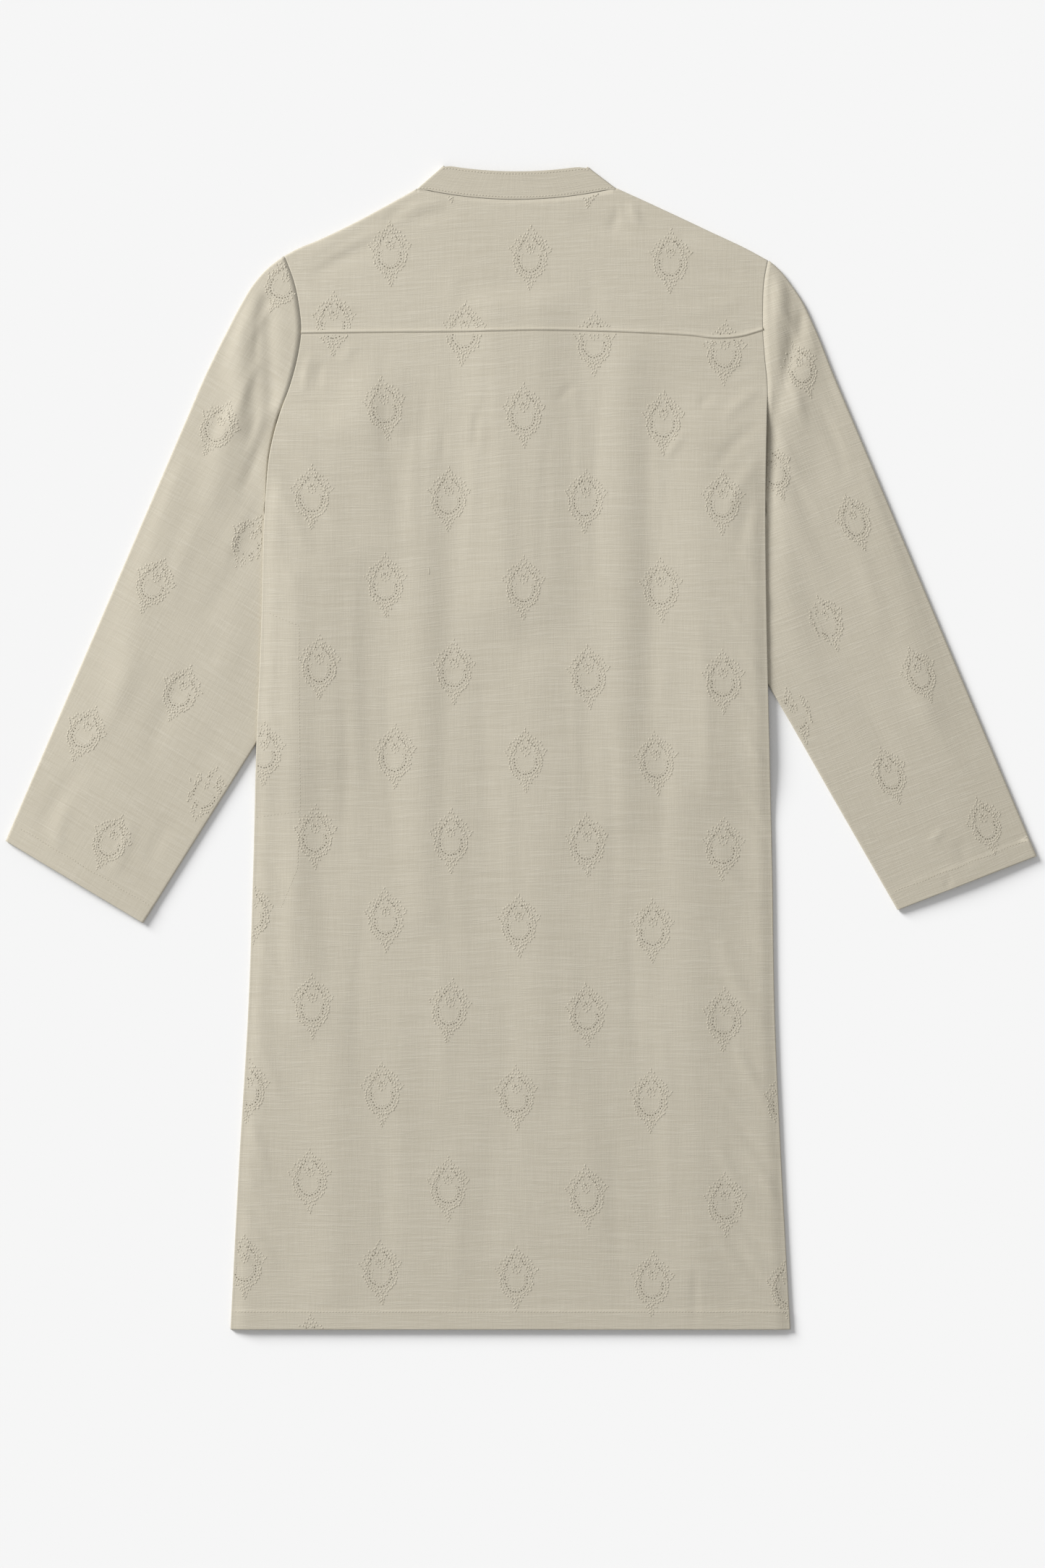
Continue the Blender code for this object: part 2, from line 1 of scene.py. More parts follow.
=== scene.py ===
# %% [markdown]
# # A kurta laid flat, with its back up
# This lesson dresses the solids of a long-sleeved kurta. The real garment is cut from a beige cotton and
# linen cloth with thick weft threads, embroidered in the cloth's own colour, and sewn from eight pieces.
# Each piece becomes a thin shell worked out with numpy, because a formula lets us place every crease
# and measure it. All sizes below are in millimetres, and turn into metres where a mesh is made.

import bpy
import mathutils
import numpy as np
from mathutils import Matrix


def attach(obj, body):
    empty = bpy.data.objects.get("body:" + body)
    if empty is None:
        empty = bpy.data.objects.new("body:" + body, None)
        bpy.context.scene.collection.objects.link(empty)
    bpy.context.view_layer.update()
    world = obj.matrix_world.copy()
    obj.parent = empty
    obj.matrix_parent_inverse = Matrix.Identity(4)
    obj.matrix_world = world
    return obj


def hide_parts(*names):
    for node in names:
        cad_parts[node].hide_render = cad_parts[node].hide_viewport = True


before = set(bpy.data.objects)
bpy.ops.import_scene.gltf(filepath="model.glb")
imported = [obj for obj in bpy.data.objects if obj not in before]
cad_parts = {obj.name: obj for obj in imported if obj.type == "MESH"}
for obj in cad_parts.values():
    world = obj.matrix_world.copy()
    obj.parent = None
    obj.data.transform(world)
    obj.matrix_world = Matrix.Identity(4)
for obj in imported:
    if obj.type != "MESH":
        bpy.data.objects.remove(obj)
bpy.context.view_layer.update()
METRES = 0.001
print("nodes:", ", ".join(sorted(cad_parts)))

# %% [markdown]
# ## Sizes of the laid garment
# A pattern cutter would draft these on paper: the body's width at a number of heights, the shoulder
# line, the yoke seam, and both edges of each sleeve. Short tables keep them readable, and a smooth curve
# through each table gives the points between.

# %% Tables of the outline
WALL = 1.1
GAP = 0.3
SEAM_SHIFT = 0.35
SEAM_CLOSE = 0.27
FRONT_MIDDLE = WALL / 2
LAYER_RISE = 3.0
SIDE_SEAM_RISE = WALL + GAP
SLEEVE_EDGE_RISE = 1.9
TUCKED_SLEEVE = SLEEVE_EDGE_RISE + WALL + GAP

# height, left edge, right edge
BODY_SECTIONS = np.array(
    (
        (-537.3, -268.0, 248.3),
        (-378.0, -259.7, 239.7),
        (-245.0, -251.7, 233.9),
        (-112.0, -247.0, 231.7),
        (0.0, -244.0, 229.0),
        (110.0, -239.5, 226.5),
        (225.0, -235.8, 225.3),
        (274.0, -231.0, 225.9),
        (306.0, -222.7, 226.6),
        (334.0, -212.6, 227.0),
        (360.0, -205.8, 224.6),
        (385.0, -202.6, 222.9),
        (405.0, -204.4, 222.9),
        (428.0, -209.0, 223.9),
        (453.0, -218.2, 228.4),
    )
)
HEM_HEIGHT = -537.3
HEM_DEPTH = 18.0
ARMPIT_HEIGHT = 225.0
UNDER_BODY_TOP = 285.0
SHOULDER_TIP_HEIGHT = {"left": 452.3, "right": 448.0}

# across, height
SHOULDER_FOLD = {
    "left": np.array(
        (
            (-218.0, 452.3),
            (-207.0, 458.3),
            (-187.7, 466.3),
            (-154.3, 482.3),
            (-124.3, 498.3),
            (-95.7, 514.3),
        )
    ),
    "right": np.array(
        (
            (228.0, 448.0),
            (209.0, 458.3),
            (175.0, 474.3),
            (141.0, 490.3),
            (106.3, 506.3),
            (87.0, 515.0),
        )
    ),
}
YOKE_SEAM = np.array(
    (
        (-202.4, 381.0),
        (-120.0, 382.0),
        (-50.0, 382.5),
        (21.7, 383.7),
        (120.0, 381.0),
        (156.0, 379.0),
        (181.7, 376.3),
        (204.0, 378.3),
        (222.6, 383.7),
    )
)
NECK_CENTRE = -4.35
NECK_HALF_WIDTH = 91.35
BACK_NECK_LOW = 504.3
BACK_NECK_HIGH = 514.65
FRONT_NECK_TOP = 481.0
FRONT_NECK_DROP = 52.0
COLLAR_HEIGHT = 27.0
COLLAR_BACK_HEIGHT = 26.0
COLLAR_SIDE_LEAN = (24.0, 21.9)
COLLAR_TOP_DIP = 5.9
COLLAR_LEAN_RISE = 1.2
COLLAR_END_GAP = 0.5
PLACKET_WIDTH = 30.0
PLACKET_BOTTOM = 88.0
BUTTON_HEIGHTS = (395.0, 315.0, 235.0, 155.0)
BUTTON_RADIUS = 5.75
BUTTON_THICKNESS = 2.2

# height, across
SLEEVE_OUTER = {
    "left": np.array(
        (
            (-87.0, -475.0),
            (100.0, -394.7),
            (300.0, -308.9),
            (341.7, -291.0),
            (386.3, -269.0),
            (410.3, -256.3),
            (426.3, -246.3),
            (442.3, -231.7),
            (452.3, -218.4),
        )
    ),
    "right": np.array(
        (
            (-101.0, 475.0),
            (100.0, 390.2),
            (300.0, 305.9),
            (341.7, 288.3),
            (386.3, 270.3),
            (410.3, 259.0),
            (426.3, 248.3),
            (440.0, 237.4),
            (448.0, 228.4),
        )
    ),
}
SLEEVE_INNER = {
    "left": np.array(
        (
            (-162.3, -349.0),
            (-80.0, -297.2),
            (3.0, -245.0),
            (55.0, -213.0),
            (90.0, -199.0),
            (125.0, -197.0),
            (160.0, -209.5),
            (190.0, -226.5),
            (213.0, -236.6),
            (225.0, -236.1),
        )
    ),
    "right": np.array(
        (
            (-150.3, 347.7),
            (-50.0, 290.1),
            (55.0, 229.7),
            (95.0, 205.0),
            (125.0, 193.0),
            (155.0, 197.0),
            (188.0, 214.0),
            (213.0, 225.4),
            (225.0, 225.7),
        )
    ),
}
SLEEVE_LOFT = 1.3
SLEEVE_SPREAD = 20.0
SPREAD_SHARE = 0.03
CUFF_DEPTH = 18.5


def through(known, values, wanted):
    """A smooth curve through known values: a cubic between each two, with slopes from their neighbours."""
    slope = np.gradient(values, known)
    low = np.clip(np.searchsorted(known, wanted) - 1, 0, len(known) - 2)
    step = known[low + 1] - known[low]
    t = (wanted - known[low]) / step
    rise = values[low + 1] - values[low]
    curved = (1 - t) * slope[low] * step - t * slope[low + 1] * step + (2 * t - 1) * rise
    return values[low] + t * rise + t * (1 - t) * curved


def eased(low, high, value):
    """0 below low, 1 above high, and between them three squares less two cubes of the share."""
    t = np.clip((value - low) / (high - low), 0.0, 1.0)
    return t * t * (3 - 2 * t)


def run_along(points):
    """How far along a line each of its points lies."""
    return np.concatenate(((0.0,), np.cumsum(np.linalg.norm(np.diff(points, axis=0), axis=1))))


def read_at(places, run, values):
    """Values known along a line's run, read at other places on it."""
    return np.stack([np.interp(places, run, values[:, k]) for k in range(values.shape[1])], axis=-1)


def body_edge(side, height):
    """Where the body's side lies at a height."""
    return through(BODY_SECTIONS[:, 0], BODY_SECTIONS[:, 1 if side == "left" else 2], height)


def beyond_edge(side, across, height):
    """How far a point lies outside the body's side, and negative inside it."""
    edge = body_edge(side, np.clip(height, HEM_HEIGHT, BODY_SECTIONS[-1, 0]))
    return edge - across if side == "left" else across - edge


armpit_width = body_edge("right", ARMPIT_HEIGHT) - body_edge("left", ARMPIT_HEIGHT)
print("body width at the armpits:", round(float(armpit_width), 1), "mm")

# %% [markdown]
# ## Creases as soft ridges and troughs
# Cloth that has been folded and laid down keeps shallow folds. One could sculpt them or run a cloth
# simulation, but neither lets us say where a crease goes. Here a crease is a line with a bow, a width
# and a rise: its height falls off sideways like a bell curve, and it fades towards both ends. A table
# lists each one, so a crease can be moved by changing a number.

# %% The shape of a crease
# Largest folds: start across, start height, end across, end height, half width, rise.
# Those of the back are the solids' own, and those of the sleeves stay close to the solids'.
BACK_FOLDS = (
    (-212.0, 150.0, -200.0, -250.0, 20.0, 1.2),
    (-138.0, 330.0, -134.0, 190.0, 22.0, 1.5),
    (-94.0, 260.0, -90.0, -150.0, 20.0, 1.3),
    (96.0, 355.0, 92.0, -60.0, 22.0, 1.5),
    (14.0, 60.0, 18.0, -300.0, 24.0, 1.0),
    (150.0, -60.0, 162.0, -480.0, 26.0, 1.3),
    (-170.0, -240.0, -176.0, -500.0, 22.0, 1.0),
)
SLEEVE_FOLDS = {
    "left": (
        (-252.0, 430.0, -263.0, 300.0, 13.0, 2.2),
        (-234.0, 410.0, -230.0, 318.0, 7.0, -1.5),
        (-268.0, 300.0, -285.0, 230.0, 12.0, 1.0),
        (-322.0, 250.0, -368.0, 60.0, 18.0, 1.1),
    ),
    "right": (
        (241.0, 436.0, 232.0, 330.0, 9.0, 3.4),
        (261.0, 400.0, 233.0, 314.0, 6.0, -1.7),
        (276.0, 398.0, 254.0, 312.0, 8.0, 0.9),
        (284.0, 330.0, 272.0, 250.0, 16.0, -0.6),
        (234.0, 290.0, 242.0, -10.0, 28.0, 2.0),
        (330.0, 240.0, 376.0, 40.0, 18.0, 1.1),
    ),
}

# Smaller creases of the back: start across, start height, end across, end height, bow, half width, rise
BACK_CREASES = (
    (-104.0, 300.0, -112.0, 190.0, 5.0, 9.0, -0.7),
    (-74.0, 240.0, -76.0, -140.0, -7.0, 12.0, -0.7),
    (-62.0, 60.0, -50.0, -230.0, 6.0, 10.0, 0.6),
    (-186.0, 120.0, -178.0, -240.0, 6.0, 14.0, -0.8),
    (112.0, 330.0, 108.0, -40.0, -8.0, 13.0, -0.8),
    (-14.0, 300.0, -8.0, 70.0, 4.0, 10.0, 0.6),
    (34.0, 60.0, 30.0, -130.0, -5.0, 11.0, 0.5),
    (132.0, 130.0, 150.0, -60.0, 7.0, 11.0, 0.6),
    (190.0, 80.0, 204.0, -200.0, -8.0, 14.0, -0.8),
    (60.0, -220.0, 74.0, -470.0, 8.0, 14.0, 0.7),
    (-30.0, -260.0, -36.0, -500.0, -6.0, 13.0, -0.6),
    (-110.0, -200.0, -104.0, -470.0, 7.0, 13.0, 0.6),
    (-37.0, 317.0, -43.0, 268.0, 2.0, 3.2, -0.7),
    (-73.0, 297.0, -73.0, 261.0, -1.5, 3.0, -0.6),
    (54.0, 335.0, 32.0, 317.0, 2.0, 3.4, -0.6),
    (152.0, 289.0, 134.0, 264.0, 2.0, 3.4, 0.8),
    (177.0, 324.0, 163.0, 312.0, 1.5, 3.2, -0.7),
    (-194.0, 362.0, -199.0, 325.0, 2.0, 3.4, 0.9),
    (-183.0, 356.0, -187.0, 328.0, 1.5, 3.0, -0.7),
    (-150.0, 372.0, -166.0, 352.0, 2.0, 5.0, 0.5),
    (160.5, -478.0, 160.5, -536.0, 0.5, 2.2, -0.9),
)
# Long faint creases that run down the back, in the same columns
DOWNWARD_CREASES = (
    (-126.0, 372.0, -122.0, 250.0, 3.0, 5.0, -0.45),
    (-112.0, 366.0, -116.0, 214.0, -3.0, 6.0, 0.4),
    (-86.0, 352.0, -90.0, 168.0, 4.0, 5.0, -0.4),
    (-46.0, 330.0, -52.0, 150.0, -4.0, 5.5, 0.4),
    (-30.0, 372.0, -26.0, 236.0, 3.0, 5.0, -0.35),
    (26.0, 300.0, 20.0, 120.0, 3.0, 6.0, -0.4),
    (46.0, 366.0, 52.0, 196.0, -4.0, 5.0, 0.4),
    (74.0, 340.0, 70.0, 140.0, 4.0, 5.5, -0.45),
    (126.0, 330.0, 120.0, 180.0, -3.0, 6.0, 0.4),
    (-152.0, 190.0, -146.0, -60.0, 5.0, 7.0, 0.5),
    (-164.0, 60.0, -168.0, -130.0, -4.0, 6.0, -0.5),
    (-122.0, 96.0, -114.0, -104.0, 5.0, 6.0, -0.45),
    (-40.0, 96.0, -34.0, -120.0, -4.0, 7.0, -0.4),
    (-10.0, 10.0, -6.0, -200.0, 4.0, 7.0, 0.4),
    (52.0, 110.0, 58.0, -110.0, 5.0, 6.0, 0.45),
    (78.0, 40.0, 82.0, -170.0, -5.0, 7.0, -0.5),
    (140.0, 60.0, 132.0, -140.0, 5.0, 7.0, -0.45),
    (164.0, 120.0, 170.0, -60.0, -4.0, 6.0, 0.5),
    (-140.0, -120.0, -150.0, -330.0, 5.0, 8.0, -0.5),
    (-80.0, -140.0, -72.0, -350.0, -5.0, 8.0, 0.4),
    (-12.0, -230.0, -4.0, -430.0, 4.0, 8.0, -0.4),
    (44.0, -160.0, 38.0, -380.0, -5.0, 8.0, 0.45),
    (104.0, -120.0, 112.0, -330.0, 5.0, 7.0, -0.5),
    (126.0, -230.0, 134.0, -470.0, -5.0, 8.0, 0.5),
    (-200.0, -60.0, -212.0, -250.0, 5.0, 7.0, 0.5),
    (-120.0, -340.0, -126.0, -520.0, 4.0, 8.0, -0.45),
    (-60.0, -360.0, -66.0, -524.0, -4.0, 8.0, 0.4),
    (88.0, -350.0, 94.0, -526.0, 4.0, 8.0, -0.4),
)
# Fine creases towards the lower right and lower left, in the same columns
CORNER_CREASES = (
    (178.0, -92.0, 226.0, -150.0, 6.0, 7.0, 0.8),
    (170.0, -150.0, 224.0, -196.0, -4.0, 6.0, -0.7),
    (184.0, -176.0, 230.0, -262.0, 7.0, 7.0, 0.9),
    (176.0, -238.0, 222.0, -296.0, 4.0, 5.0, -0.7),
    (196.0, -262.0, 234.0, -338.0, 5.0, 5.0, 0.9),
    (172.0, -300.0, 206.0, -352.0, -4.0, 5.0, 0.7),
    (190.0, -322.0, 236.0, -392.0, 5.0, 5.5, -0.8),
    (180.0, -360.0, 214.0, -424.0, 4.0, 5.0, 0.8),
    (206.0, -372.0, 240.0, -430.0, -3.0, 4.5, 0.8),
    (186.0, -412.0, 236.0, -470.0, 5.0, 5.0, -0.8),
    (176.0, -438.0, 220.0, -500.0, 4.0, 5.0, 0.7),
    (204.0, -452.0, 242.0, -508.0, 3.0, 4.5, 0.8),
    (-262.0, -292.0, -242.0, -352.0, 3.0, 5.0, -0.9),
    (-256.0, -330.0, -236.0, -402.0, -4.0, 5.0, 0.8),
    (-262.0, -392.0, -238.0, -440.0, 3.0, 5.0, -0.8),
    (-254.0, -436.0, -226.0, -486.0, -3.0, 5.0, 0.7),
    (-240.0, -262.0, -216.0, -330.0, 4.0, 6.0, 0.6),
)
# Short puckers beside both side seams, in the same columns
MARGIN_CREASES = (
    (194.0, 196.0, 219.0, 168.0, 2.0, 2.8, 0.6),
    (202.0, 158.0, 222.0, 134.0, -2.0, 2.8, -0.6),
    (190.0, 128.0, 220.0, 96.0, 2.5, 3.0, 0.6),
    (204.0, 92.0, 226.0, 62.0, 2.0, 2.6, 0.7),
    (194.0, 58.0, 222.0, 22.0, -2.0, 3.0, -0.6),
    (206.0, 14.0, 228.0, -18.0, 2.0, 2.8, 0.7),
    (196.0, -22.0, 226.0, -62.0, 2.5, 3.0, 0.6),
    (208.0, -58.0, 230.0, -96.0, -2.0, 2.8, -0.7),
    (-222.0, 176.0, -204.0, 146.0, 2.0, 2.8, 0.5),
    (-226.0, 132.0, -206.0, 120.0, -2.0, 2.8, -0.5),
    (-232.0, 30.0, -210.0, 2.0, 2.0, 3.0, 0.5),
    (-240.0, -96.0, -216.0, -122.0, 2.0, 3.0, -0.6),
    (-246.0, -180.0, -222.0, -212.0, -2.0, 3.0, 0.6),
    (-252.0, -236.0, -226.0, -262.0, 2.0, 3.0, 0.6),
)
# Drag lines that spread from both armholes over the back
ARMHOLE_CREASES = (
    (-228.0, 288.0, -184.0, 246.0, -4.0, 5.5, 0.8),
    (-232.0, 262.0, -176.0, 196.0, -5.0, 6.5, -0.8),
    (-230.0, 240.0, -196.0, 176.0, -4.0, 6.0, 0.9),
    (-212.0, 322.0, -168.0, 296.0, -3.0, 5.0, -0.6),
    (-206.0, 346.0, -172.0, 330.0, 2.0, 4.5, 0.6),
    (222.0, 330.0, 186.0, 300.0, 3.0, 5.0, 0.8),
    (223.0, 300.0, 176.0, 250.0, 5.0, 6.0, -0.8),
    (222.0, 268.0, 188.0, 206.0, 5.0, 6.5, 0.9),
    (220.0, 240.0, 198.0, 168.0, 4.0, 6.0, -0.7),
    (218.0, 352.0, 190.0, 342.0, 2.0, 4.0, -0.6),
)
# On the yoke: below the shoulders and beside the collar
YOKE_CREASES = (
    (-206.0, 446.0, -150.0, 472.0, -3.0, 8.0, 0.6),
    (-196.0, 430.0, -128.0, 464.0, -4.0, 8.0, -0.6),
    (216.0, 436.0, 150.0, 466.0, 4.0, 8.0, 0.6),
    (200.0, 420.0, 128.0, 452.0, 4.0, 8.0, -0.5),
    (-116.0, 490.0, -70.0, 500.0, -2.0, 4.0, 1.2),
    (-104.0, 486.0, -60.0, 492.0, -2.0, 4.0, -0.8),
    (-128.0, 482.0, -98.0, 498.0, -2.0, 3.5, -0.7),
    (101.0, 503.0, 110.0, 482.0, 1.5, 3.5, 1.3),
    (90.0, 496.0, 80.0, 474.0, -1.5, 4.0, -0.9),
    (44.0, 486.0, 100.0, 470.0, -3.0, 7.0, -0.9),
    (-198.0, 438.0, -112.0, 484.0, -2.0, 2.8, 0.7),
    (196.0, 432.0, 116.0, 478.0, 2.0, 2.8, 0.7),
    (-212.0, 424.0, -150.0, 404.0, 4.0, 6.0, 0.5),
    (206.0, 412.0, 140.0, 402.0, -4.0, 6.0, 0.5),
    (-60.0, 440.0, -64.0, 394.0, 2.0, 8.0, 0.4),
    (60.0, 446.0, 66.0, 392.0, -2.0, 8.0, -0.4),
)

ALL_BACK_CREASES = (
    BACK_CREASES + DOWNWARD_CREASES + CORNER_CREASES + MARGIN_CREASES + ARMHOLE_CREASES + YOKE_CREASES
)


def folds_at(folds, across, height):
    """The sum of soft rounded folds, each highest along its straight line and with round ends."""
    total = np.zeros_like(across)
    for start_x, start_y, end_x, end_y, half_width, rise in folds:
        run_x, run_y = end_x - start_x, end_y - start_y
        share = ((across - start_x) * run_x + (height - start_y) * run_y) / (run_x**2 + run_y**2)
        share = np.clip(share, 0.0, 1.0)
        away = np.hypot(across - start_x - share * run_x, height - start_y - share * run_y)
        total += rise * np.exp(-((away / half_width) ** 2))
    return total


def creases_at(creases, across, height):
    """The sum of creases: a bell curve across each bowed line, times the sine of the share along it."""
    total = np.zeros_like(across)
    for start_x, start_y, end_x, end_y, bow, half_width, rise in creases:
        run_x, run_y = end_x - start_x, end_y - start_y
        length = np.hypot(run_x, run_y)
        share = ((across - start_x) * run_x + (height - start_y) * run_y) / length**2
        aside = ((across - start_x) * run_y - (height - start_y) * run_x) / length
        inside = np.clip(share, 0.0, 1.0)
        aside = aside - bow * 4 * inside * (1 - inside)
        total += rise * np.exp(-((aside / half_width) ** 2)) * np.sin(np.pi * inside) ** 0.8
    return total


print("creases on the back:", len(ALL_BACK_CREASES))

# %% [markdown]
# ## How high each layer lies
# The front lies on the surface, the sleeves are tucked under the body's sides, and the back lies on
# top of both. Every height below is a function of the place alone, so two pieces that meet at a seam
# read the same height there and stay a hair apart.

# %% Heights of the layers
FOLD_STRENGTH = 1.25
YOKE_LIP = 0.95
SEAM_DIP = 0.25
HEM_TURN_RISE = 0.32
CUFF_TURN_RISE = 0.34
TURN_EASE = 1.0
BESIDE_SEAM = np.array((0.35, 0.7, 1.1, 1.5, 1.9, 2.6, 4.0))


def front_middle_at(across, height):
    """Middle of the front wall: flat, but raised over the tucked sleeves and over the buttons."""
    up = np.full_like(across, FRONT_MIDDLE)
    for side in ("left", "right"):
        inside = -beyond_edge(side, across, height)
        along = eased(-72.0, -2.0, height) * (1 - eased(UNDER_BODY_TOP, 345.0, height))
        up += TUCKED_SLEEVE * along * (1 - eased(54.0, 110.0, inside))
    near_placket = 1 - eased(PLACKET_WIDTH / 2 + 2, 62.0, np.abs(across - NECK_CENTRE))
    along = eased(PLACKET_BOTTOM + 4, 140.0, height) * (1 - eased(402.0, 428.0, height))
    return up + (BUTTON_THICKNESS + GAP) * near_placket * along


def layer_rise_at(across, height):
    """How far the back's middle lies over the front's: less along the sewn side seams."""
    rise = np.full_like(across, LAYER_RISE)
    for side in ("left", "right"):
        inside = -beyond_edge(side, across, height)
        closing = (1 - eased(0.0, 12.5, inside)) * (1 - eased(ARMPIT_HEIGHT, 274.0, height))
        rise -= (LAYER_RISE - SIDE_SEAM_RISE) * closing
    return rise


def back_middle_at(across, height):
    """Middle of the back wall: the front's height, the space between, the folds and the small creases."""
    inside = -np.maximum(beyond_edge("left", across, height), beyond_edge("right", across, height))
    soft = FOLD_STRENGTH * folds_at(BACK_FOLDS, across, height) * eased(6.0, 34.0, inside)
    small = creases_at(ALL_BACK_CREASES, across, height)
    small *= eased(1.0, 12.0, inside) * eased(0.5, 6.0, np.abs(above_seam(across, height)))
    small *= eased(HEM_HEIGHT - 12.0, HEM_HEIGHT + 8.0, height)
    hem = HEM_TURN_RISE * (1 - eased(HEM_DEPTH - TURN_EASE, HEM_DEPTH + TURN_EASE, height - HEM_HEIGHT))
    above = above_seam(across, height)
    lip = YOKE_LIP * np.exp(-(((above - 1.1) / np.where(above > 1.1, 1.35, 0.8)) ** 2))
    lip -= SEAM_DIP * np.exp(-(((above + 0.5) / 0.9) ** 2))
    return front_middle_at(across, height) + layer_rise_at(across, height) + soft + small + hem + lip


def above_seam(across, height):
    """How far a point lies above the yoke seam, and negative below it."""
    inside = np.clip(across, YOKE_SEAM[0, 0], YOKE_SEAM[-1, 0])
    return height - through(YOKE_SEAM[:, 0], YOKE_SEAM[:, 1], inside)


centre_height = back_middle_at(np.array([0.0]), np.array([200.0]))[0] + WALL / 2
print("top of the back over the placket:", round(float(centre_height), 2), "mm")

# %% [markdown]
# ## From a grid of points to a piece of cloth
# Blender's Solidify modifier could thicken a sheet. Doing it here keeps the two faces and the cut
# edges in one closed mesh, whose size we know. The grid's second table, in metres along the threads,
# becomes the UV map "threads", so a weave follows each piece whichever way it was cut.

# %% Cloth from a grid
WEFT_RISE = 13.0
WEFT_RISE_SPAN = (-120.0, 120.0)


def cloth_piece(name, middle, threads, tube=False, kept=None):
    """A closed wall: the grid moved half a wall both ways along its normals, with rims at open edges."""
    rows, columns = middle.shape[:2]
    index = np.arange(rows * columns).reshape(rows, columns)
    if tube:
        index = np.concatenate((index, index[:, :1]), axis=1)
    quads = np.stack((index[:-1, :-1], index[:-1, 1:], index[1:, 1:], index[1:, :-1]), axis=-1)
    quads = quads.reshape(-1, 4) if kept is None else quads[kept]
    points = middle.reshape(-1, 3)
    facing = np.cross(points[quads[:, 2]] - points[quads[:, 0]], points[quads[:, 3]] - points[quads[:, 1]])
    normal = np.zeros_like(points)
    for corner in range(4):
        np.add.at(normal, quads[:, corner], facing)
    normal /= np.maximum(np.linalg.norm(normal, axis=1, keepdims=True), 1e-9)
    other = len(points)
    both = np.concatenate((points + normal * WALL / 2, points - normal * WALL / 2))
    starts, ends = quads.ravel(), np.roll(quads, -1, axis=1).ravel()
    open_edge = ~np.isin(starts * other + ends, ends * other + starts)
    a, b = starts[open_edge], ends[open_edge]
    rim = np.stack((b, a, a + other, b + other), axis=-1)
    faces = np.concatenate((quads, quads[:, ::-1] + other, rim))
    used, packed = np.unique(faces, return_inverse=True)
    faces = packed.reshape(faces.shape)
    threads = np.concatenate((threads.reshape(-1, 2), threads.reshape(-1, 2)))[used]
    return mesh_object(name, both[used], faces, threads)


def mesh_object(name, points, faces, threads=None):
    """An object whose mesh holds these points, in millimetres, with equal-sided faces and a UV map."""
    mesh = bpy.data.meshes.new(name)
    sides = faces.shape[1]
    mesh.vertices.add(len(points))
    mesh.vertices.foreach_set("co", (points * METRES).astype(np.float32).ravel())
    mesh.loops.add(faces.size)
    mesh.loops.foreach_set("vertex_index", faces.astype(np.int32).ravel())
    mesh.polygons.add(len(faces))
    mesh.polygons.foreach_set("loop_start", np.arange(0, faces.size, sides, dtype=np.int32))
    mesh.polygons.foreach_set("use_smooth", np.full(len(faces), True))
    if threads is not None:
        layer = mesh.uv_layers.new(name="threads")
        layer.data.foreach_set("uv", (threads[faces.ravel()] * METRES).astype(np.float32).ravel())
    mesh.update(calc_edges=True)
    mesh.validate()
    made = bpy.data.objects.new(name, mesh)
    bpy.context.scene.collection.objects.link(made)
    return made


def spaced(start, end, step, extra=()):
    """Even steps from start to end, about this long, with a few extra places put in."""
    count = max(2, int(round(abs(end - start) / step)) + 1)
    return np.unique(np.concatenate((np.linspace(start, end, count), np.asarray(extra, float))))


def weft_of(across, height):
    """Lengths along and across the body's weft: its rows rise by a sine from left to right."""
    share = np.clip((across - WEFT_RISE_SPAN[0]) / (WEFT_RISE_SPAN[1] - WEFT_RISE_SPAN[0]), 0.0, 1.0)
    lift = WEFT_RISE * np.sin(share * np.pi / 2) * eased(-500.0, 250.0, height)
    return np.stack((across, height - lift), axis=-1)


print("rows of a 3.5 mm grid on the back:", len(spaced(HEM_HEIGHT, 381.0, 3.5)))

# %% [markdown]
# ## The back and its yoke
# The back panel is one flat piece from the yoke seam to the hem. The yoke is doubled over at both
# shoulders and ends in a narrow strip on the front. Both read their plan from four edges: straight
# columns between the bottom and the top, bent near the sides so that they follow them.

# %% Plan between four edges
SIDE_REACH = 0.4
FOLD_TURNS = np.radians(np.linspace(90.0, -90.0, 9))
YOKE_FRONT_SHARE = 0.75
SHOULDER_SHARE = 0.25


def patch(bottom, top, left, right, rows, shares, reach):
    """Points between four edges: a mix of bottom and top, plus the sides' offsets, fading by the square."""
    v = rows[:, None, None]
    straight = bottom[None] * (1 - v) + top[None] * v
    near_left = np.clip(1 - shares / reach, 0, 1)[None, :, None] ** 2
    near_right = np.clip(1 - (1 - shares) / reach, 0, 1)[None, :, None] ** 2
    bent = straight + near_left * (left[:, None] - straight[:, :1])
    return bent + near_right * (right[:, None] - straight[:, -1:])


def with_height(plan, up):
    """The plan's points with their heights put in as a third number."""
    return np.concatenate((plan, up[..., None]), axis=-1)


def back_neck_height(across):
    """The back neckline: a parabola, lowest at the centre back."""
    share = (across - NECK_CENTRE) / NECK_HALF_WIDTH
    return BACK_NECK_LOW + (BACK_NECK_HIGH - BACK_NECK_LOW) * share**2


def seam_row(shares):
    """The yoke seam's points, even in their places across."""
    across = YOKE_SEAM[0, 0] + shares * (YOKE_SEAM[-1, 0] - YOKE_SEAM[0, 0])
    return np.stack((across, through(YOKE_SEAM[:, 0], YOKE_SEAM[:, 1], across)), axis=-1)


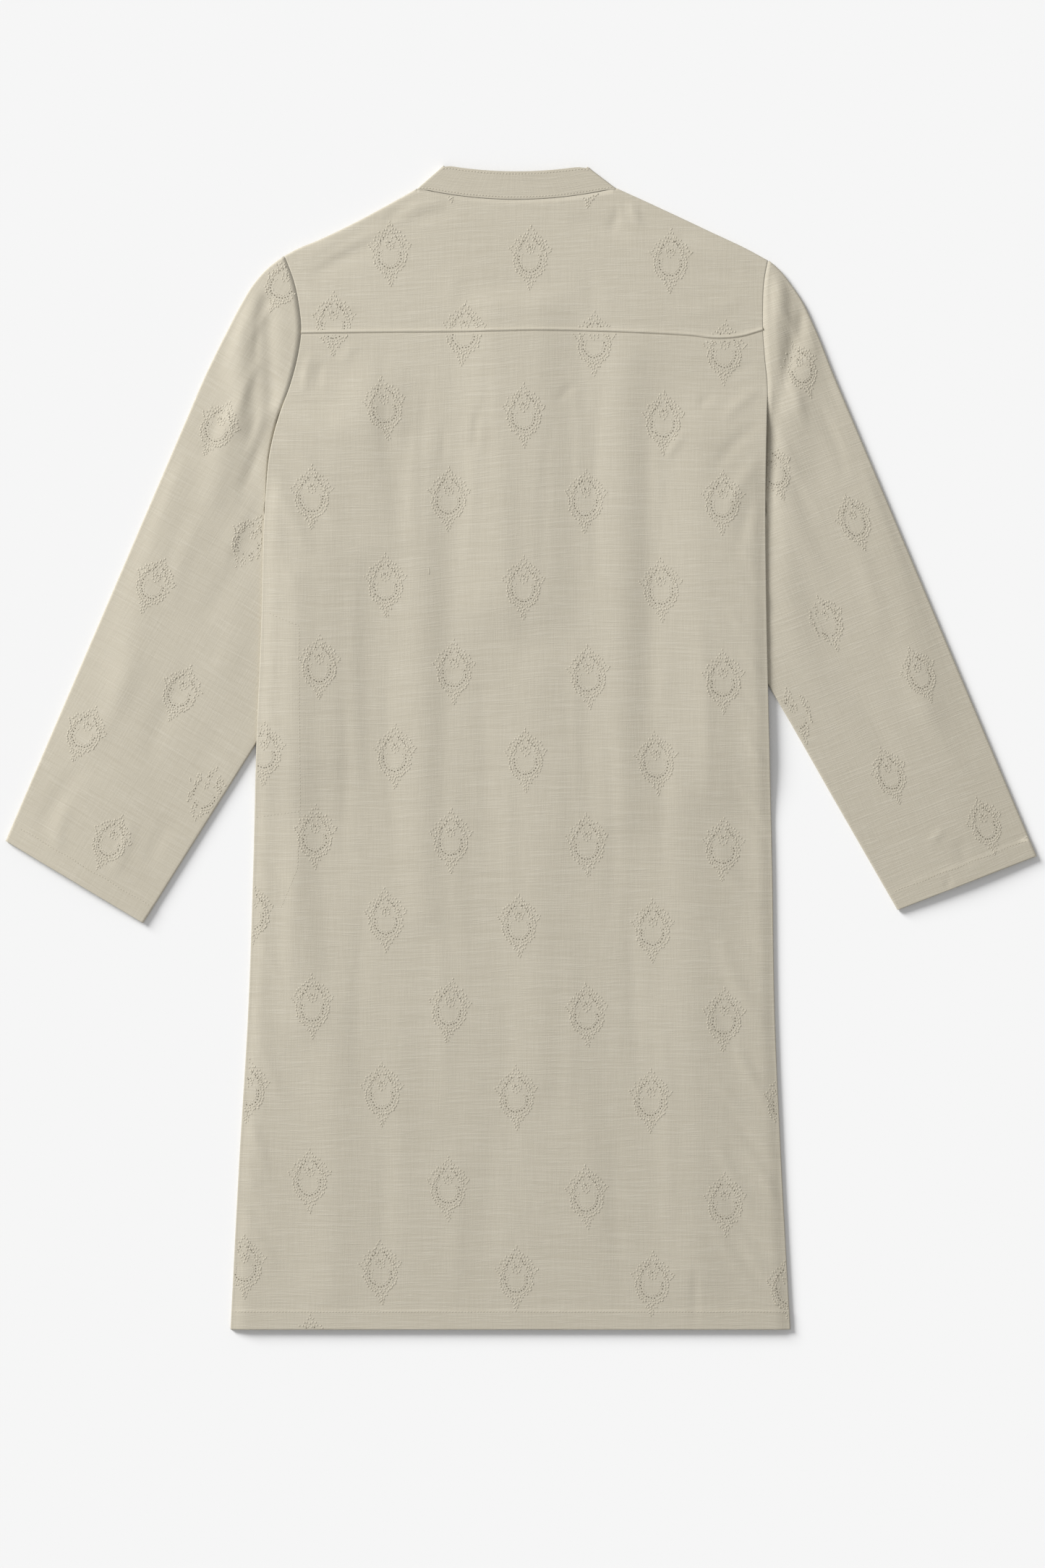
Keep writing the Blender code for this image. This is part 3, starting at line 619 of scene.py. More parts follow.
def yoke_top(shares):
    """The yoke's upper edge: one shoulder fold, the back neckline, and the other shoulder fold."""
    left, right = SHOULDER_FOLD["left"], SHOULDER_FOLD["right"]
    out_left = np.clip(shares / SHOULDER_SHARE, 0, 1)
    out_right = np.clip((1 - shares) / SHOULDER_SHARE, 0, 1)
    x_left = left[0, 0] + out_left * (left[-1, 0] - left[0, 0])
    x_right = right[0, 0] + out_right * (right[-1, 0] - right[0, 0])
    y_left = through(left[:, 0], left[:, 1], x_left)
    y_right = through(-right[:, 0], right[:, 1], -x_right)
    along = np.clip((shares - SHOULDER_SHARE) / (1 - 2 * SHOULDER_SHARE), 0, 1)
    x_neck = left[-1, 0] + along * (right[-1, 0] - left[-1, 0])
    on_left, on_right = shares <= SHOULDER_SHARE + 1e-9, shares >= 1 - SHOULDER_SHARE - 1e-9
    across = np.where(on_left, x_left, np.where(on_right, x_right, x_neck))
    height = np.where(on_left, y_left, np.where(on_right, y_right, back_neck_height(x_neck)))
    return np.stack((across, height), axis=-1)


def armhole_beside_yoke(side, rows):
    """Points up the armhole from the yoke seam to the shoulder tip."""
    low = YOKE_SEAM[0 if side == "left" else -1, 1]
    height = low + rows * (SHOULDER_TIP_HEIGHT[side] - low)
    return np.stack((body_edge(side, height), height), axis=-1)


def yoke_plan(rows, shares):
    """The yoke seen from above, from its seam to the shoulders and the neck."""
    sides = [armhole_beside_yoke(side, rows) for side in ("left", "right")]
    bottom = seam_row(shares) + (0.0, GAP / 2 - SEAM_CLOSE / 2)
    return patch(bottom, yoke_top(shares), *sides, rows, shares, SIDE_REACH)


def yoke_grid(rows, shares):
    """The yoke's flat back, a half round over each shoulder, and the strip that shows on the front."""
    plan = yoke_plan(rows, shares)
    toward = yoke_plan(np.array((YOKE_FRONT_SHARE,)), shares)[0] - plan[-1]
    reach = np.linalg.norm(toward, axis=1, keepdims=True)
    toward = toward / reach
    up = back_middle_at(plan[..., 0], plan[..., 1])
    radius = (up[-1] - FRONT_MIDDLE) / 2
    turned = []
    for turn in FOLD_TURNS:
        place = plan[-1] + toward * (radius * (1 - np.cos(turn)))[:, None]
        turned.append(with_height(place, FRONT_MIDDLE + radius * (1 + np.sin(turn))))
    turned = np.array(turned)
    neck = (shares > SHOULDER_SHARE + 1e-9) & (shares < 1 - SHOULDER_SHARE - 1e-9)
    turned[0, neck, :2] = plan[-1, neck]
    strip = []
    for share in np.linspace(0.0, 1.0, 8)[1:]:
        place = plan[-1] + toward * (radius[:, None] + share * (reach - radius[:, None]))
        strip.append(with_height(place, np.full(len(place), FRONT_MIDDLE)))
    middle = np.concatenate((with_height(plan, up)[:-1], turned, np.array(strip)))
    kept = np.ones((middle.shape[0] - 1, middle.shape[1] - 1), bool)
    kept[len(rows) - 1 :, neck[1:] | neck[:-1]] = False
    return middle, kept


YOKE_SHARES = spaced(0.0, 1.0, 3.0 / 430.0, (SHOULDER_SHARE, 1 - SHOULDER_SHARE, 0.002, 0.998))
yoke_rows = np.concatenate(((0.0,), BESIDE_SEAM / 100.0, np.linspace(0.07, 1.0, 27)))
yoke_middle, yoke_kept = yoke_grid(yoke_rows, YOKE_SHARES)
yoke_threads = weft_of(yoke_middle[..., 0], yoke_middle[..., 1])
yoke = cloth_piece("yoke_cloth", yoke_middle, yoke_threads, kept=yoke_kept)

back_shares = spaced(0.0, 1.0, 3.5 / 500.0, (0.002, 0.005, 0.995, 0.998))
hem_line = HEM_HEIGHT + HEM_DEPTH
side_heights = spaced(HEM_HEIGHT, 360.0, 3.5, (hem_line - 1.0, hem_line, hem_line + 1.0, HEM_HEIGHT + 1.0))
hem_left, hem_right = BODY_SECTIONS[0, 1:]
hem_row = np.stack(
    (hem_left + back_shares * (hem_right - hem_left), np.full(len(back_shares), HEM_HEIGHT)), axis=-1
)
back_seam = seam_row(back_shares) - (0.0, GAP / 2 - SEAM_CLOSE / 2)
back_sides = []
for side, end in (("left", 0), ("right", -1)):
    top = back_seam[end, 1]
    last = np.concatenate((np.linspace(360.0, top - 5.4, 6)[1:], top - BESIDE_SEAM[::-1], (top,)))
    heights = np.concatenate((side_heights, last))
    back_sides.append(np.stack((body_edge(side, heights), heights), axis=-1))
back_rows = (back_sides[0][:, 1] - HEM_HEIGHT) / (back_sides[0][-1, 1] - HEM_HEIGHT)
back_plan = patch(hem_row, back_seam, *back_sides, back_rows, back_shares, SIDE_REACH)
back_middle = with_height(back_plan, back_middle_at(back_plan[..., 0], back_plan[..., 1]))
back = cloth_piece("back_cloth", back_middle, weft_of(back_plan[..., 0], back_plan[..., 1]))
print("back:", len(back.data.polygons), "faces; yoke:", len(yoke.data.polygons), "faces")

# %% [markdown]
# ## The front, its placket and the pocket bag
# The front faces down. It has a scooped neck and a slot that the half placket fills. The placket's
# four buttons rest on the surface, so the front rises a little over them. The pocket bag lies
# between front and back, so it is made from the front's own points, moved up.

# %% Front pieces
FRONT_NECK_STEPS = 14
FRONT_SIDE_STEPS = 18
POCKET_HEIGHTS = (-170.0, 110.0)
POCKET_SHARES = (0.027, 0.25)
POCKET_LIFT = WALL + 0.4


def front_neck_turn():
    """Angles round the front neckline's quarter ellipse, down to the placket."""
    last = np.arccos((PLACKET_WIDTH / 2 + GAP) / NECK_HALF_WIDTH)
    return np.linspace(0.0, last, FRONT_NECK_STEPS + 1)


def front_neck(side):
    """The front neckline on one side: a quarter ellipse."""
    sign = -1 if side == "left" else 1
    turn = front_neck_turn()
    across = NECK_CENTRE + sign * NECK_HALF_WIDTH * np.cos(turn)
    return np.stack((across, FRONT_NECK_TOP - FRONT_NECK_DROP * np.sin(turn)), axis=-1)


def front_grid():
    """The front between its hem, its sides, and an upper edge of two yoke strips and the neckline."""
    even_shares = np.linspace(0.0, SHOULDER_SHARE, FRONT_SIDE_STEPS)
    side_shares = np.unique(np.concatenate((even_shares, (0.004, POCKET_SHARES[0]))))
    both_sides = np.concatenate((side_shares, 1 - side_shares[::-1]))
    yoke_edge = yoke_plan(np.array((YOKE_FRONT_SHARE,)), both_sides)[0] - (0.0, GAP)
    count = len(side_shares)
    left_neck, right_neck = front_neck("left"), front_neck("right")[::-1]
    top = np.concatenate((yoke_edge[:count], left_neck[1:], right_neck[:-1], yoke_edge[-count:]))
    width = hem_right - hem_left
    slot = left_neck[-1, 0], right_neck[0, 0]
    left = hem_left + side_shares * width
    right = hem_right - side_shares[::-1] * width
    inner_left = np.linspace(left[-1], slot[0], FRONT_NECK_STEPS + 1)[1:]
    inner_right = np.linspace(slot[1], right[0], FRONT_NECK_STEPS + 1)[:-1]
    across = np.concatenate((left, inner_left, inner_right, right))
    hem = np.stack((across, np.full(len(across), HEM_HEIGHT)), axis=-1)
    sides = []
    low_heights = spaced(HEM_HEIGHT, 360.0, 8.0, (hem_line,))
    for side, end in (("left", 0), ("right", -1)):
        upper = np.linspace(360.0, top[end, 1], 10)[1:]
        heights = np.concatenate((low_heights, upper))
        sides.append(np.stack((body_edge(side, heights), heights), axis=-1))
    heights = sides[0][:, 1]
    slot_top = left_neck[-1, 1]
    rows = (heights - HEM_HEIGHT) / (heights[-1] - HEM_HEIGHT)
    slot_share = (PLACKET_BOTTOM - HEM_HEIGHT) / (slot_top - HEM_HEIGHT)
    slot_row = np.argmin(np.abs(rows - slot_share))
    rows[slot_row] = slot_share
    plan = patch(hem, top, *sides, rows, (across - hem_left) / width, SIDE_REACH)
    kept = np.ones((len(rows) - 1, len(across) - 1), bool)
    kept[slot_row:, count + FRONT_NECK_STEPS - 1] = False
    return with_height(plan, front_middle_at(plan[..., 0], plan[..., 1])), kept, side_shares


front_middle, front_kept, front_shares = front_grid()
front = cloth_piece("front_cloth", front_middle, front_middle[..., :2].copy(), kept=front_kept)

placket_heights = spaced(PLACKET_BOTTOM + GAP, FRONT_NECK_TOP - FRONT_NECK_DROP - SEAM_SHIFT, 3.5)
placket_across = NECK_CENTRE + PLACKET_WIDTH * np.linspace(-0.5, 0.5, 9)
placket_plan = np.stack(np.meshgrid(placket_across, placket_heights), axis=-1)
placket_middle = with_height(placket_plan, front_middle_at(placket_plan[..., 0], placket_plan[..., 1]))
placket = cloth_piece("placket_cloth", placket_middle, placket_plan[..., ::-1].copy())

row_heights = front_middle[:, 0, 1]
pocket_rows = (row_heights >= POCKET_HEIGHTS[0] - 4) & (row_heights <= POCKET_HEIGHTS[1] + 4)
inside_pocket = (front_shares >= POCKET_SHARES[0] - 1e-6) & (front_shares < POCKET_SHARES[1])
pocket_columns = np.flatnonzero(inside_pocket)
pocket_middle = front_middle[pocket_rows][:, pocket_columns] + (0.0, 0.0, POCKET_LIFT)
pocket = cloth_piece("pocket_cloth", pocket_middle, pocket_middle[..., :2].copy())
print("front:", len(front.data.polygons), "faces; placket:", len(placket.data.polygons), "faces")

# %% [markdown]
# ## The band collar
# A band collar is one straight strip sewn to the neckline. Its lower edge follows the neck all round,
# and a leaning line at each point carries it up to its free edge. A smooth curve through the coarse
# points gives the fine ones.

# %% Collar
def finer(points, parts):
    """More points on a smooth curve through given ones, with this many steps between two of them."""
    known = np.arange(len(points), dtype=float)
    wanted = np.linspace(0.0, len(points) - 1.0, (len(points) - 1) * parts + 1)
    return np.stack([through(known, points[:, k], wanted) for k in range(points.shape[1])], axis=-1)


def collar_edge():
    """The neck seam's points all round and the line that leans from each to the collar's free edge."""
    round_neck = np.linspace(SHOULDER_SHARE, 1 - SHOULDER_SHARE, 21)
    level, _ = yoke_grid(np.linspace(0.0, 1.0, 5), np.concatenate(((0.0,), round_neck, (1.0,))))
    level = level[:, 1:-1]
    fold_start = 4
    parts = []
    for side, column in (("left", 0), ("right", -1)):
        sign = 1 if side == "left" else -1
        end = np.arccos(COLLAR_END_GAP / NECK_HALF_WIDTH)
        turn = np.concatenate(((end,), front_neck_turn()[::-1]))
        start = NECK_CENTRE - sign * NECK_HALF_WIDTH * np.cos(turn)
        outward = (-sign * np.cos(turn) * FRONT_NECK_DROP, -np.sin(turn) * NECK_HALF_WIDTH)
        outward = np.stack(outward, axis=-1)
        outward /= np.linalg.norm(outward, axis=1, keepdims=True)
        plan = np.stack((start, FRONT_NECK_TOP - FRONT_NECK_DROP * np.sin(turn)), axis=-1)
        points = with_height(plan - outward * SEAM_SHIFT, np.full(len(turn), FRONT_MIDDLE))
        leans = with_height(-outward * COLLAR_HEIGHT, np.zeros(len(turn)))
        fold = level[fold_start : fold_start + len(FOLD_TURNS), column][::-1]
        fold = fold + (sign * SEAM_SHIFT, 0.0, 0.0)
        half_way = (points[-1] + fold[0]) / 2
        side_lean = np.array((sign * COLLAR_SIDE_LEAN[0], COLLAR_SIDE_LEAN[1], 0.0))
        bent = (leans[-1] + side_lean) / 2
        points = np.concatenate((points, half_way[None], fold))
        fold_leans = np.repeat(side_lean[None], len(fold), axis=0)
        fold_leans[:, 2] = np.linspace(0.0, COLLAR_LEAN_RISE, len(fold))
        points[-1, 1] += SEAM_SHIFT
        parts.append((points, np.concatenate((leans, bent[None], fold_leans))))
    back_edge = level[fold_start, 1:-1] + (0.0, SEAM_SHIFT, 0.0)
    share = (back_edge[:, 0] - NECK_CENTRE) / NECK_HALF_WIDTH
    top = BACK_NECK_LOW + COLLAR_BACK_HEIGHT + COLLAR_TOP_DIP * share**2
    rise = np.full(len(back_edge), COLLAR_LEAN_RISE)
    back_leans = np.stack((-share * COLLAR_SIDE_LEAN[0], top - back_edge[:, 1], rise), axis=-1)
    lower = np.concatenate((parts[0][0], back_edge, parts[1][0][::-1]))
    lean = np.concatenate((parts[0][1], back_leans, parts[1][1][::-1]))
    return lower, lean


collar_lower, collar_lean = collar_edge()
collar_lower, collar_lean = finer(collar_lower, 3), finer(collar_lean, 3)
# The worn corners of the band are a little rounded, the right one more than the left
corner_at = collar_lower[:, 0] + collar_lean[:, 0]
worn_right = 2.4 * np.exp(-(((corner_at - 64.0) / 9.0) ** 2))
worn_left = 0.9 * np.exp(-(((corner_at + 74.0) / 5.0) ** 2))
collar_lean[:, 1] -= worn_right + worn_left
collar_lean[:, 0] -= 0.8 * worn_right - 0.5 * worn_left
collar_parts = np.unique(np.concatenate((np.linspace(0.0, 1.0, 11), (0.03, 0.88, 0.94, 0.97))))
collar_middle = collar_lower + collar_lean * collar_parts[:, None, None]
collar_length = run_along(collar_lower)
collar_threads = np.stack(np.meshgrid(collar_length, collar_parts * COLLAR_HEIGHT), axis=-1)
collar = cloth_piece("collar_cloth", collar_middle, collar_threads)
print("collar seam:", round(float(collar_length[-1]), 1), "mm long")

# %% [markdown]
# ## The sleeves
# A laid sleeve is a flattened tube. Its grid runs from the armhole to the cuff, and round the tube:
# over the upper wall, round the outer fold, back along the surface, and round the inner edge, which is
# tucked under the body. The folds and creases only lift the upper wall.

# %% Sleeves
ARMHOLE_HEIGHTS = (ARMPIT_HEIGHT, 252.0, 274.0, 300.0, 320.0, 340.0, 360.0)
# Creases of each sleeve: start across, start height, end across, end height, bow, half width, rise
SLEEVE_CREASES = {
    "left": (
        (-236.0, 420.0, -244.0, 350.0, 3.0, 4.0, -0.9),
        (-226.0, 408.0, -250.0, 372.0, 3.0, 4.0, 0.8),
        (-240.0, 360.0, -262.0, 300.0, 3.0, 5.0, 0.9),
        (-238.0, 318.0, -252.0, 268.0, -3.0, 4.5, 0.9),
        (-240.0, 286.0, -262.0, 232.0, -3.0, 5.0, -0.9),
        (-262.0, 330.0, -292.0, 262.0, 4.0, 6.0, -0.7),
        (-244.0, 244.0, -276.0, 176.0, -4.0, 6.0, 0.9),
        (-250.0, 196.0, -300.0, 110.0, -5.0, 8.0, -0.8),
        (-290.0, 222.0, -326.0, 120.0, 5.0, 9.0, 0.7),
        (-252.0, 130.0, -292.0, 52.0, -5.0, 7.0, 0.8),
        (-300.0, 76.0, -346.0, -20.0, 6.0, 10.0, -0.7),
        (-262.0, 42.0, -296.0, -30.0, 4.0, 6.0, -0.8),
        (-356.0, 96.0, -404.0, -14.0, -6.0, 10.0, 0.7),
        (-416.0, -50.0, -428.6, -98.0, 3.0, 6.0, 0.7),
        (-359.0, -65.0, -378.0, -120.0, -3.0, 6.0, 0.7),
        (-318.0, -62.0, -344.0, -112.0, 3.0, 5.0, -0.7),
        (-400.0, -14.0, -446.0, -84.0, 4.0, 8.0, -0.6),
    ),
    "right": (
        (246.0, 424.0, 244.0, 346.0, -3.0, 4.0, -0.9),
        (232.0, 410.0, 256.0, 372.0, -3.0, 4.0, 0.8),
        (240.0, 350.0, 262.0, 292.0, -3.0, 5.0, 0.9),
        (244.0, 421.0, 232.0, 300.0, 2.0, 4.0, -0.8),
        (238.0, 300.0, 258.0, 240.0, 3.0, 4.5, 0.9),
        (243.0, 270.0, 272.0, 206.0, 3.0, 5.0, -0.9),
        (268.0, 322.0, 300.0, 246.0, -4.0, 6.0, -0.7),
        (246.0, 226.0, 286.0, 150.0, 4.0, 6.5, 0.9),
        (248.0, 180.0, 302.0, 84.0, 5.0, 8.0, -0.9),
        (300.0, 200.0, 334.0, 96.0, -5.0, 9.0, 0.7),
        (242.0, 124.0, 286.0, 48.0, 4.0, 7.0, 0.9),
        (288.0, 70.0, 350.0, -30.0, -6.0, 10.0, -0.7),
        (262.0, 30.0, 302.0, -44.0, 4.0, 6.0, 0.7),
        (352.0, 90.0, 408.0, -24.0, 6.0, 10.0, 0.7),
        (375.6, -88.0, 390.0, -75.5, 1.0, 3.0, 0.8),
        (320.0, -92.0, 334.0, -116.0, 1.5, 3.5, -0.8),
        (300.0, -60.0, 330.0, -98.0, 2.5, 4.5, 0.8),
        (394.0, -118.5, 394.0, -132.0, 0.5, 2.2, -0.7),
        (404.0, -86.0, 414.0, -112.0, 2.0, 6.0, -0.6),
    ),
}
# Where each sleeve dips beside the body, in the same columns as its creases
VALLEYS = {
    "left": (
        (-247.0, 395.0, -247.0, 275.0, 0.0, 8.0, -1.0),
        (-246.0, 275.0, -262.0, 150.0, -2.0, 9.0, -0.7),
    ),
    "right": (
        (243.0, 421.0, 236.0, 240.0, 2.0, 8.0, -1.1),
        (234.0, 272.0, 228.0, 20.0, 2.0, 7.0, -1.4),
    ),
}


def sleeve_up(side, across, height, share, cuff_way):
    """Middle of a sleeve's upper wall: loft like a sine over the width, folds, creases, and turned cuff."""
    outside = beyond_edge(side, across, height)
    free = eased(4.0, 30.0, outside)
    loft = SLEEVE_LOFT * np.sin(np.pi * share) * free
    edge = eased(0.0, 0.12, share) * eased(0.0, 0.12, 1 - share)
    soft = folds_at(SLEEVE_FOLDS[side], across, height) * eased(3.0, 12.0, outside) * edge
    small = creases_at(SLEEVE_CREASES[side] + VALLEYS[side], across, height)
    small = small * eased(1.0, 8.0, outside) * edge
    beside = eased(UNDER_BODY_TOP, 330.0, height) * (1 - eased(0.0, 34.0, outside))
    body_lift = TUCKED_SLEEVE * (1 - eased(UNDER_BODY_TOP, 345.0, height))
    sewn = (LAYER_RISE - SLEEVE_EDGE_RISE + body_lift) * beside
    cuff = CUFF_TURN_RISE * (1 - eased(CUFF_DEPTH - TURN_EASE, CUFF_DEPTH + TURN_EASE, cuff_way))
    return FRONT_MIDDLE + SLEEVE_EDGE_RISE + loft + soft + small + sewn + cuff


def along_curve(points, shares):
    """Points at these shares of a curve's length."""
    run = run_along(points)
    return read_at(shares * run[-1], run, points)


def sleeve_grid(side, rows, shares):
    """The flattened tube, and the plan of its upper wall."""
    sign = -1 if side == "left" else 1
    beside_yoke = armhole_beside_yoke(side, np.linspace(0.0, 1.0, 5))[:, 1]
    known = np.concatenate((ARMHOLE_HEIGHTS, beside_yoke))
    heights = np.interp(shares * (len(known) - 1), np.arange(len(known)), known)
    armhole = np.stack((body_edge(side, heights) + sign * (SEAM_SHIFT - SEAM_CLOSE), heights), axis=-1)
    edges = {}
    for name, table in (("inner", SLEEVE_INNER[side]), ("outer", SLEEVE_OUTER[side])):
        down = np.linspace(table[-1, 0], table[0, 0], 400)
        edges[name] = np.stack((through(table[:, 0], table[:, 1], down), down), axis=-1)
    armhole[0], armhole[-1] = edges["inner"][0], edges["outer"][0]
    cuff = edges["inner"][-1] + shares[:, None] * (edges["outer"][-1] - edges["inner"][-1])
    inner, outer = along_curve(edges["inner"], rows), along_curve(edges["outer"], rows)
    v = rows[:, None, None]
    straight = armhole[None] * (1 - v) + cuff[None] * v
    near_inner = np.clip(1 - shares / 0.25, 0, 1)[None, :, None] ** 2
    plan = straight + near_inner * (inner[:, None] - straight[:, :1])
    plan = plan + shares[None, :, None] * (outer[:, None] - straight[:, -1:])
    spread = SLEEVE_SPREAD * 4 * shares * (1 - shares)
    spread = spread * (1 - np.exp(-v[..., 0] / SPREAD_SHARE)) * (1 - v[..., 0])
    plan[..., 0] += sign * spread
    share = np.broadcast_to(shares, plan.shape[:2])
    along_cuff = cuff[-1] - cuff[0]
    along_cuff = along_cuff / np.linalg.norm(along_cuff)
    from_cuff = plan - cuff[0]
    cuff_way = np.abs(from_cuff[..., 0] * along_cuff[1] - from_cuff[..., 1] * along_cuff[0])
    top = sleeve_up(side, plan[..., 0], plan[..., 1], share, cuff_way)

    def fold(edge, turn, angles):
        """A half round from the upper wall to the lower, square to the edge and inside it by its radius."""
        radius = (top[:, edge] - FRONT_MIDDLE) / 2
        along = np.gradient(plan[:, edge], axis=0)
        toward = turn * sign * along[:, ::-1] * (1.0, -1.0)
        toward /= np.linalg.norm(toward, axis=1, keepdims=True)
        at_armhole = armhole[1] - armhole[0] if edge == 0 else armhole[-2] - armhole[-1]
        at_armhole = at_armhole / np.linalg.norm(at_armhole)
        near = np.exp(-rows / 0.006)[:, None]
        toward = toward * (1 - near) + at_armhole * near
        toward /= np.linalg.norm(toward, axis=1, keepdims=True)
        ring = []
        for angle in angles:
            place = plan[:, edge] + toward * (radius * (1 - np.cos(angle)))[:, None]
            ring.append(with_height(place, FRONT_MIDDLE + radius * (1 + np.sin(angle))))
        return np.stack(ring, axis=1)

    upper = with_height(plan[:, 1:-1], top[:, 1:-1])
    lower = with_height(plan[:, 1:-1], np.full(plan[:, 1:-1].shape[:2], FRONT_MIDDLE))[:, ::-1]
    ring = np.concatenate((upper, fold(-1, 1, FOLD_TURNS), lower, fold(0, -1, FOLD_TURNS[::-1])), axis=1)
    threads = np.stack(
        (
            ring[..., 0] * along_cuff[0] + ring[..., 1] * along_cuff[1],
            ring[..., 1] * along_cuff[0] - ring[..., 0] * along_cuff[1],
        ),
        axis=-1,
    )
    if side == "right":
        ring, threads = ring[:, ::-1], threads[:, ::-1]
    return ring, threads, with_height(plan, top), along_cuff


SLEEVE_ROWS = spaced(0.0, 1.0, 3.6 / 560.0, (0.962, 0.965, 0.968, 0.996, 0.998))
SLEEVE_SHARES = np.unique(np.concatenate((spaced(0.0, 1.0, 3.2 / 150.0), (0.008, 0.015, 0.985, 0.992))))
sleeves, sleeve_rings, sleeve_tops, cuff_lines = {}, {}, {}, {}
for side in ("left", "right"):
    made = sleeve_grid(side, SLEEVE_ROWS, SLEEVE_SHARES)
    sleeve_rings[side], threads, sleeve_tops[side], cuff_lines[side] = made
    sleeves[side] = cloth_piece("sleeve_cloth_" + side, sleeve_rings[side], threads, tube=True)
    print(side, "sleeve:", len(sleeves[side].data.polygons), "faces")

# %% [markdown]
# ## Sewing thread
# Topstitching is a row of short threads that dip into the cloth. A curve with a bevel would do, but
# there are hundreds of stitches, so each is a tiny closed spindle of 24 triangles and all the
# stitches of a line share one mesh. The same builder makes the knots of the embroidery.

# %% Threads and knots as one mesh
RING_POINTS = 6


def lumps(name, centres, along, sizes, ups):
    """Many closed spindles: six points round each of two belts, and a pole at either end.

    A spindle's points are its centre, plus its long direction times its half length, plus a circle
    in the two directions square to it, times its half width and its half height.
    """
    turn = np.arange(RING_POINTS) * 2 * np.pi / RING_POINTS
    along = along / np.linalg.norm(along, axis=1, keepdims=True)
    aside = np.cross(ups, along)
    aside /= np.linalg.norm(aside, axis=1, keepdims=True)
    up = np.cross(along, aside)
    circle = (
        aside[:, None] * (np.cos(turn)[None, :, None] * sizes[:, 1][:, None, None])
        + up[:, None] * (np.sin(turn)[None, :, None] * sizes[:, 2][:, None, None])
    )
    reach = along[:, None] * sizes[:, 0][:, None, None]
    first = centres[:, None] - reach * 0.5 + circle * 0.9
    second = centres[:, None] + reach * 0.5 + circle * 0.9
    points = np.concatenate((centres[:, None] - reach, first, second, centres[:, None] + reach), axis=1)
    k = np.arange(RING_POINTS)
    following = (k + 1) % RING_POINTS
    start, end = np.zeros_like(k), np.full_like(k, 2 * RING_POINTS + 1)
    first_belt, second_belt = 1 + k, 1 + RING_POINTS + k
    first_next, second_next = 1 + following, 1 + RING_POINTS + following
    faces = np.concatenate(
        (
            np.stack((start, first_next, first_belt), axis=-1),
            np.stack((first_belt, first_next, second_next), axis=-1),
            np.stack((first_belt, second_next, second_belt), axis=-1),
            np.stack((end, second_belt, second_next), axis=-1),
        )
    )
    each = 2 * RING_POINTS + 2
    all_faces = (faces[None] + np.arange(len(centres))[:, None, None] * each).reshape(-1, 3)
    return mesh_object(name, points.reshape(-1, 3), all_faces)


def lift_of(grid, places):
    """Height and normal of a grid's upper side: the nearest point's height, carried on along its slope."""
    flat = grid.reshape(-1, 3)
    along_rows = np.gradient(grid, axis=0)
    along_columns = np.gradient(grid, axis=1)
    normal = np.cross(along_rows, along_columns).reshape(-1, 3)
    normal *= np.sign(normal[:, 2:3])
    normal /= np.linalg.norm(normal, axis=1, keepdims=True)
    heights, normals = [], []
    for some in np.array_split(places, max(1, len(places) // 200)):
        gap = (some[:, None, 0] - flat[None, :, 0]) ** 2 + (some[:, None, 1] - flat[None, :, 1]) ** 2
        nearest = np.argmin(gap, axis=1)
        n, p = normal[nearest], flat[nearest]
        step = ((some - p[:, :2]) * n[:, :2]).sum(1) / np.maximum(n[:, 2], 0.3)
        heights.append(p[:, 2] - np.clip(step, -1.5, 1.5) + WALL / 2)
        normals.append(n)
    return np.concatenate(heights), np.concatenate(normals)


def height_and_normal(middle_at, places):
    """Height of a wall's middle by its formula, and its normal from the difference over 0.5 mm each way."""
    x, y = places[:, 0], places[:, 1]
    slope_x = middle_at(x + 0.5, y) - middle_at(x - 0.5, y)
    slope_y = middle_at(x, y + 0.5) - middle_at(x, y - 0.5)
    normal = np.stack((-slope_x, -slope_y, np.ones_like(x)), axis=-1)
    return middle_at(x, y), normal / np.linalg.norm(normal, axis=1, keepdims=True)


def body_lift(places):
    """Height and normal of the back's upper side."""
    up, normal = height_and_normal(back_middle_at, places)
    return up + WALL / 2, normal


def front_lift(places):
    """Height and normal of the front's outer side, which faces down: stitches there lie flush."""
    up, normal = height_and_normal(front_middle_at, places)
    return up - WALL / 2 + FLUSH, -normal


STITCH_LENGTH = 2.1
STITCH_PITCH = 2.9
STITCH_WIDTH = 0.42
FINE_STITCH_WIDTH = 0.32
FLUSH = 0.2


def stitches_on(line, lift, length=STITCH_LENGTH, pitch=STITCH_PITCH, width=STITCH_WIDTH):
    """Stitches along a line seen from above: centres, directions, sizes and the cloth's normals."""
    run = run_along(line)
    places = np.arange(pitch / 2, run[-1], pitch)
    behind, middle, ahead = (read_at(places + step, run, line) for step in (-0.5, 0.0, 0.5))
    up, normal = lift(middle)
    way = with_height(ahead - behind, np.zeros(len(places)))
    way -= normal * (way * normal).sum(1, keepdims=True)
    centres = with_height(middle, up) + normal * width * 0.12
    sizes = np.tile((length / 2, width, width * 0.7), (len(places), 1))
    return centres, way, sizes, normal


def joined(parts):
    """Several sets of stitches or knots put one after another."""
    return [np.concatenate([part[k] for part in parts]) for k in range(4)]


print("points of one stitch:", 2 * RING_POINTS + 2)

# %% [markdown]
# ## Topstitched lines
# The yoke seam is pressed up, the hem and cuffs are turned once and stitched, and the
# collar is stitched close to both edges. The left side has the pocket's stitched line. Most of these
# could be a texture, but thread that stands up catches the light at the edge of each stitch.

# %% Stitched lines
def evened(line, step=1.5):
    """A line with a point every step or so."""
    run = run_along(line)
    return read_at(np.linspace(0.0, run[-1], max(2, int(run[-1] / step))), run, line)


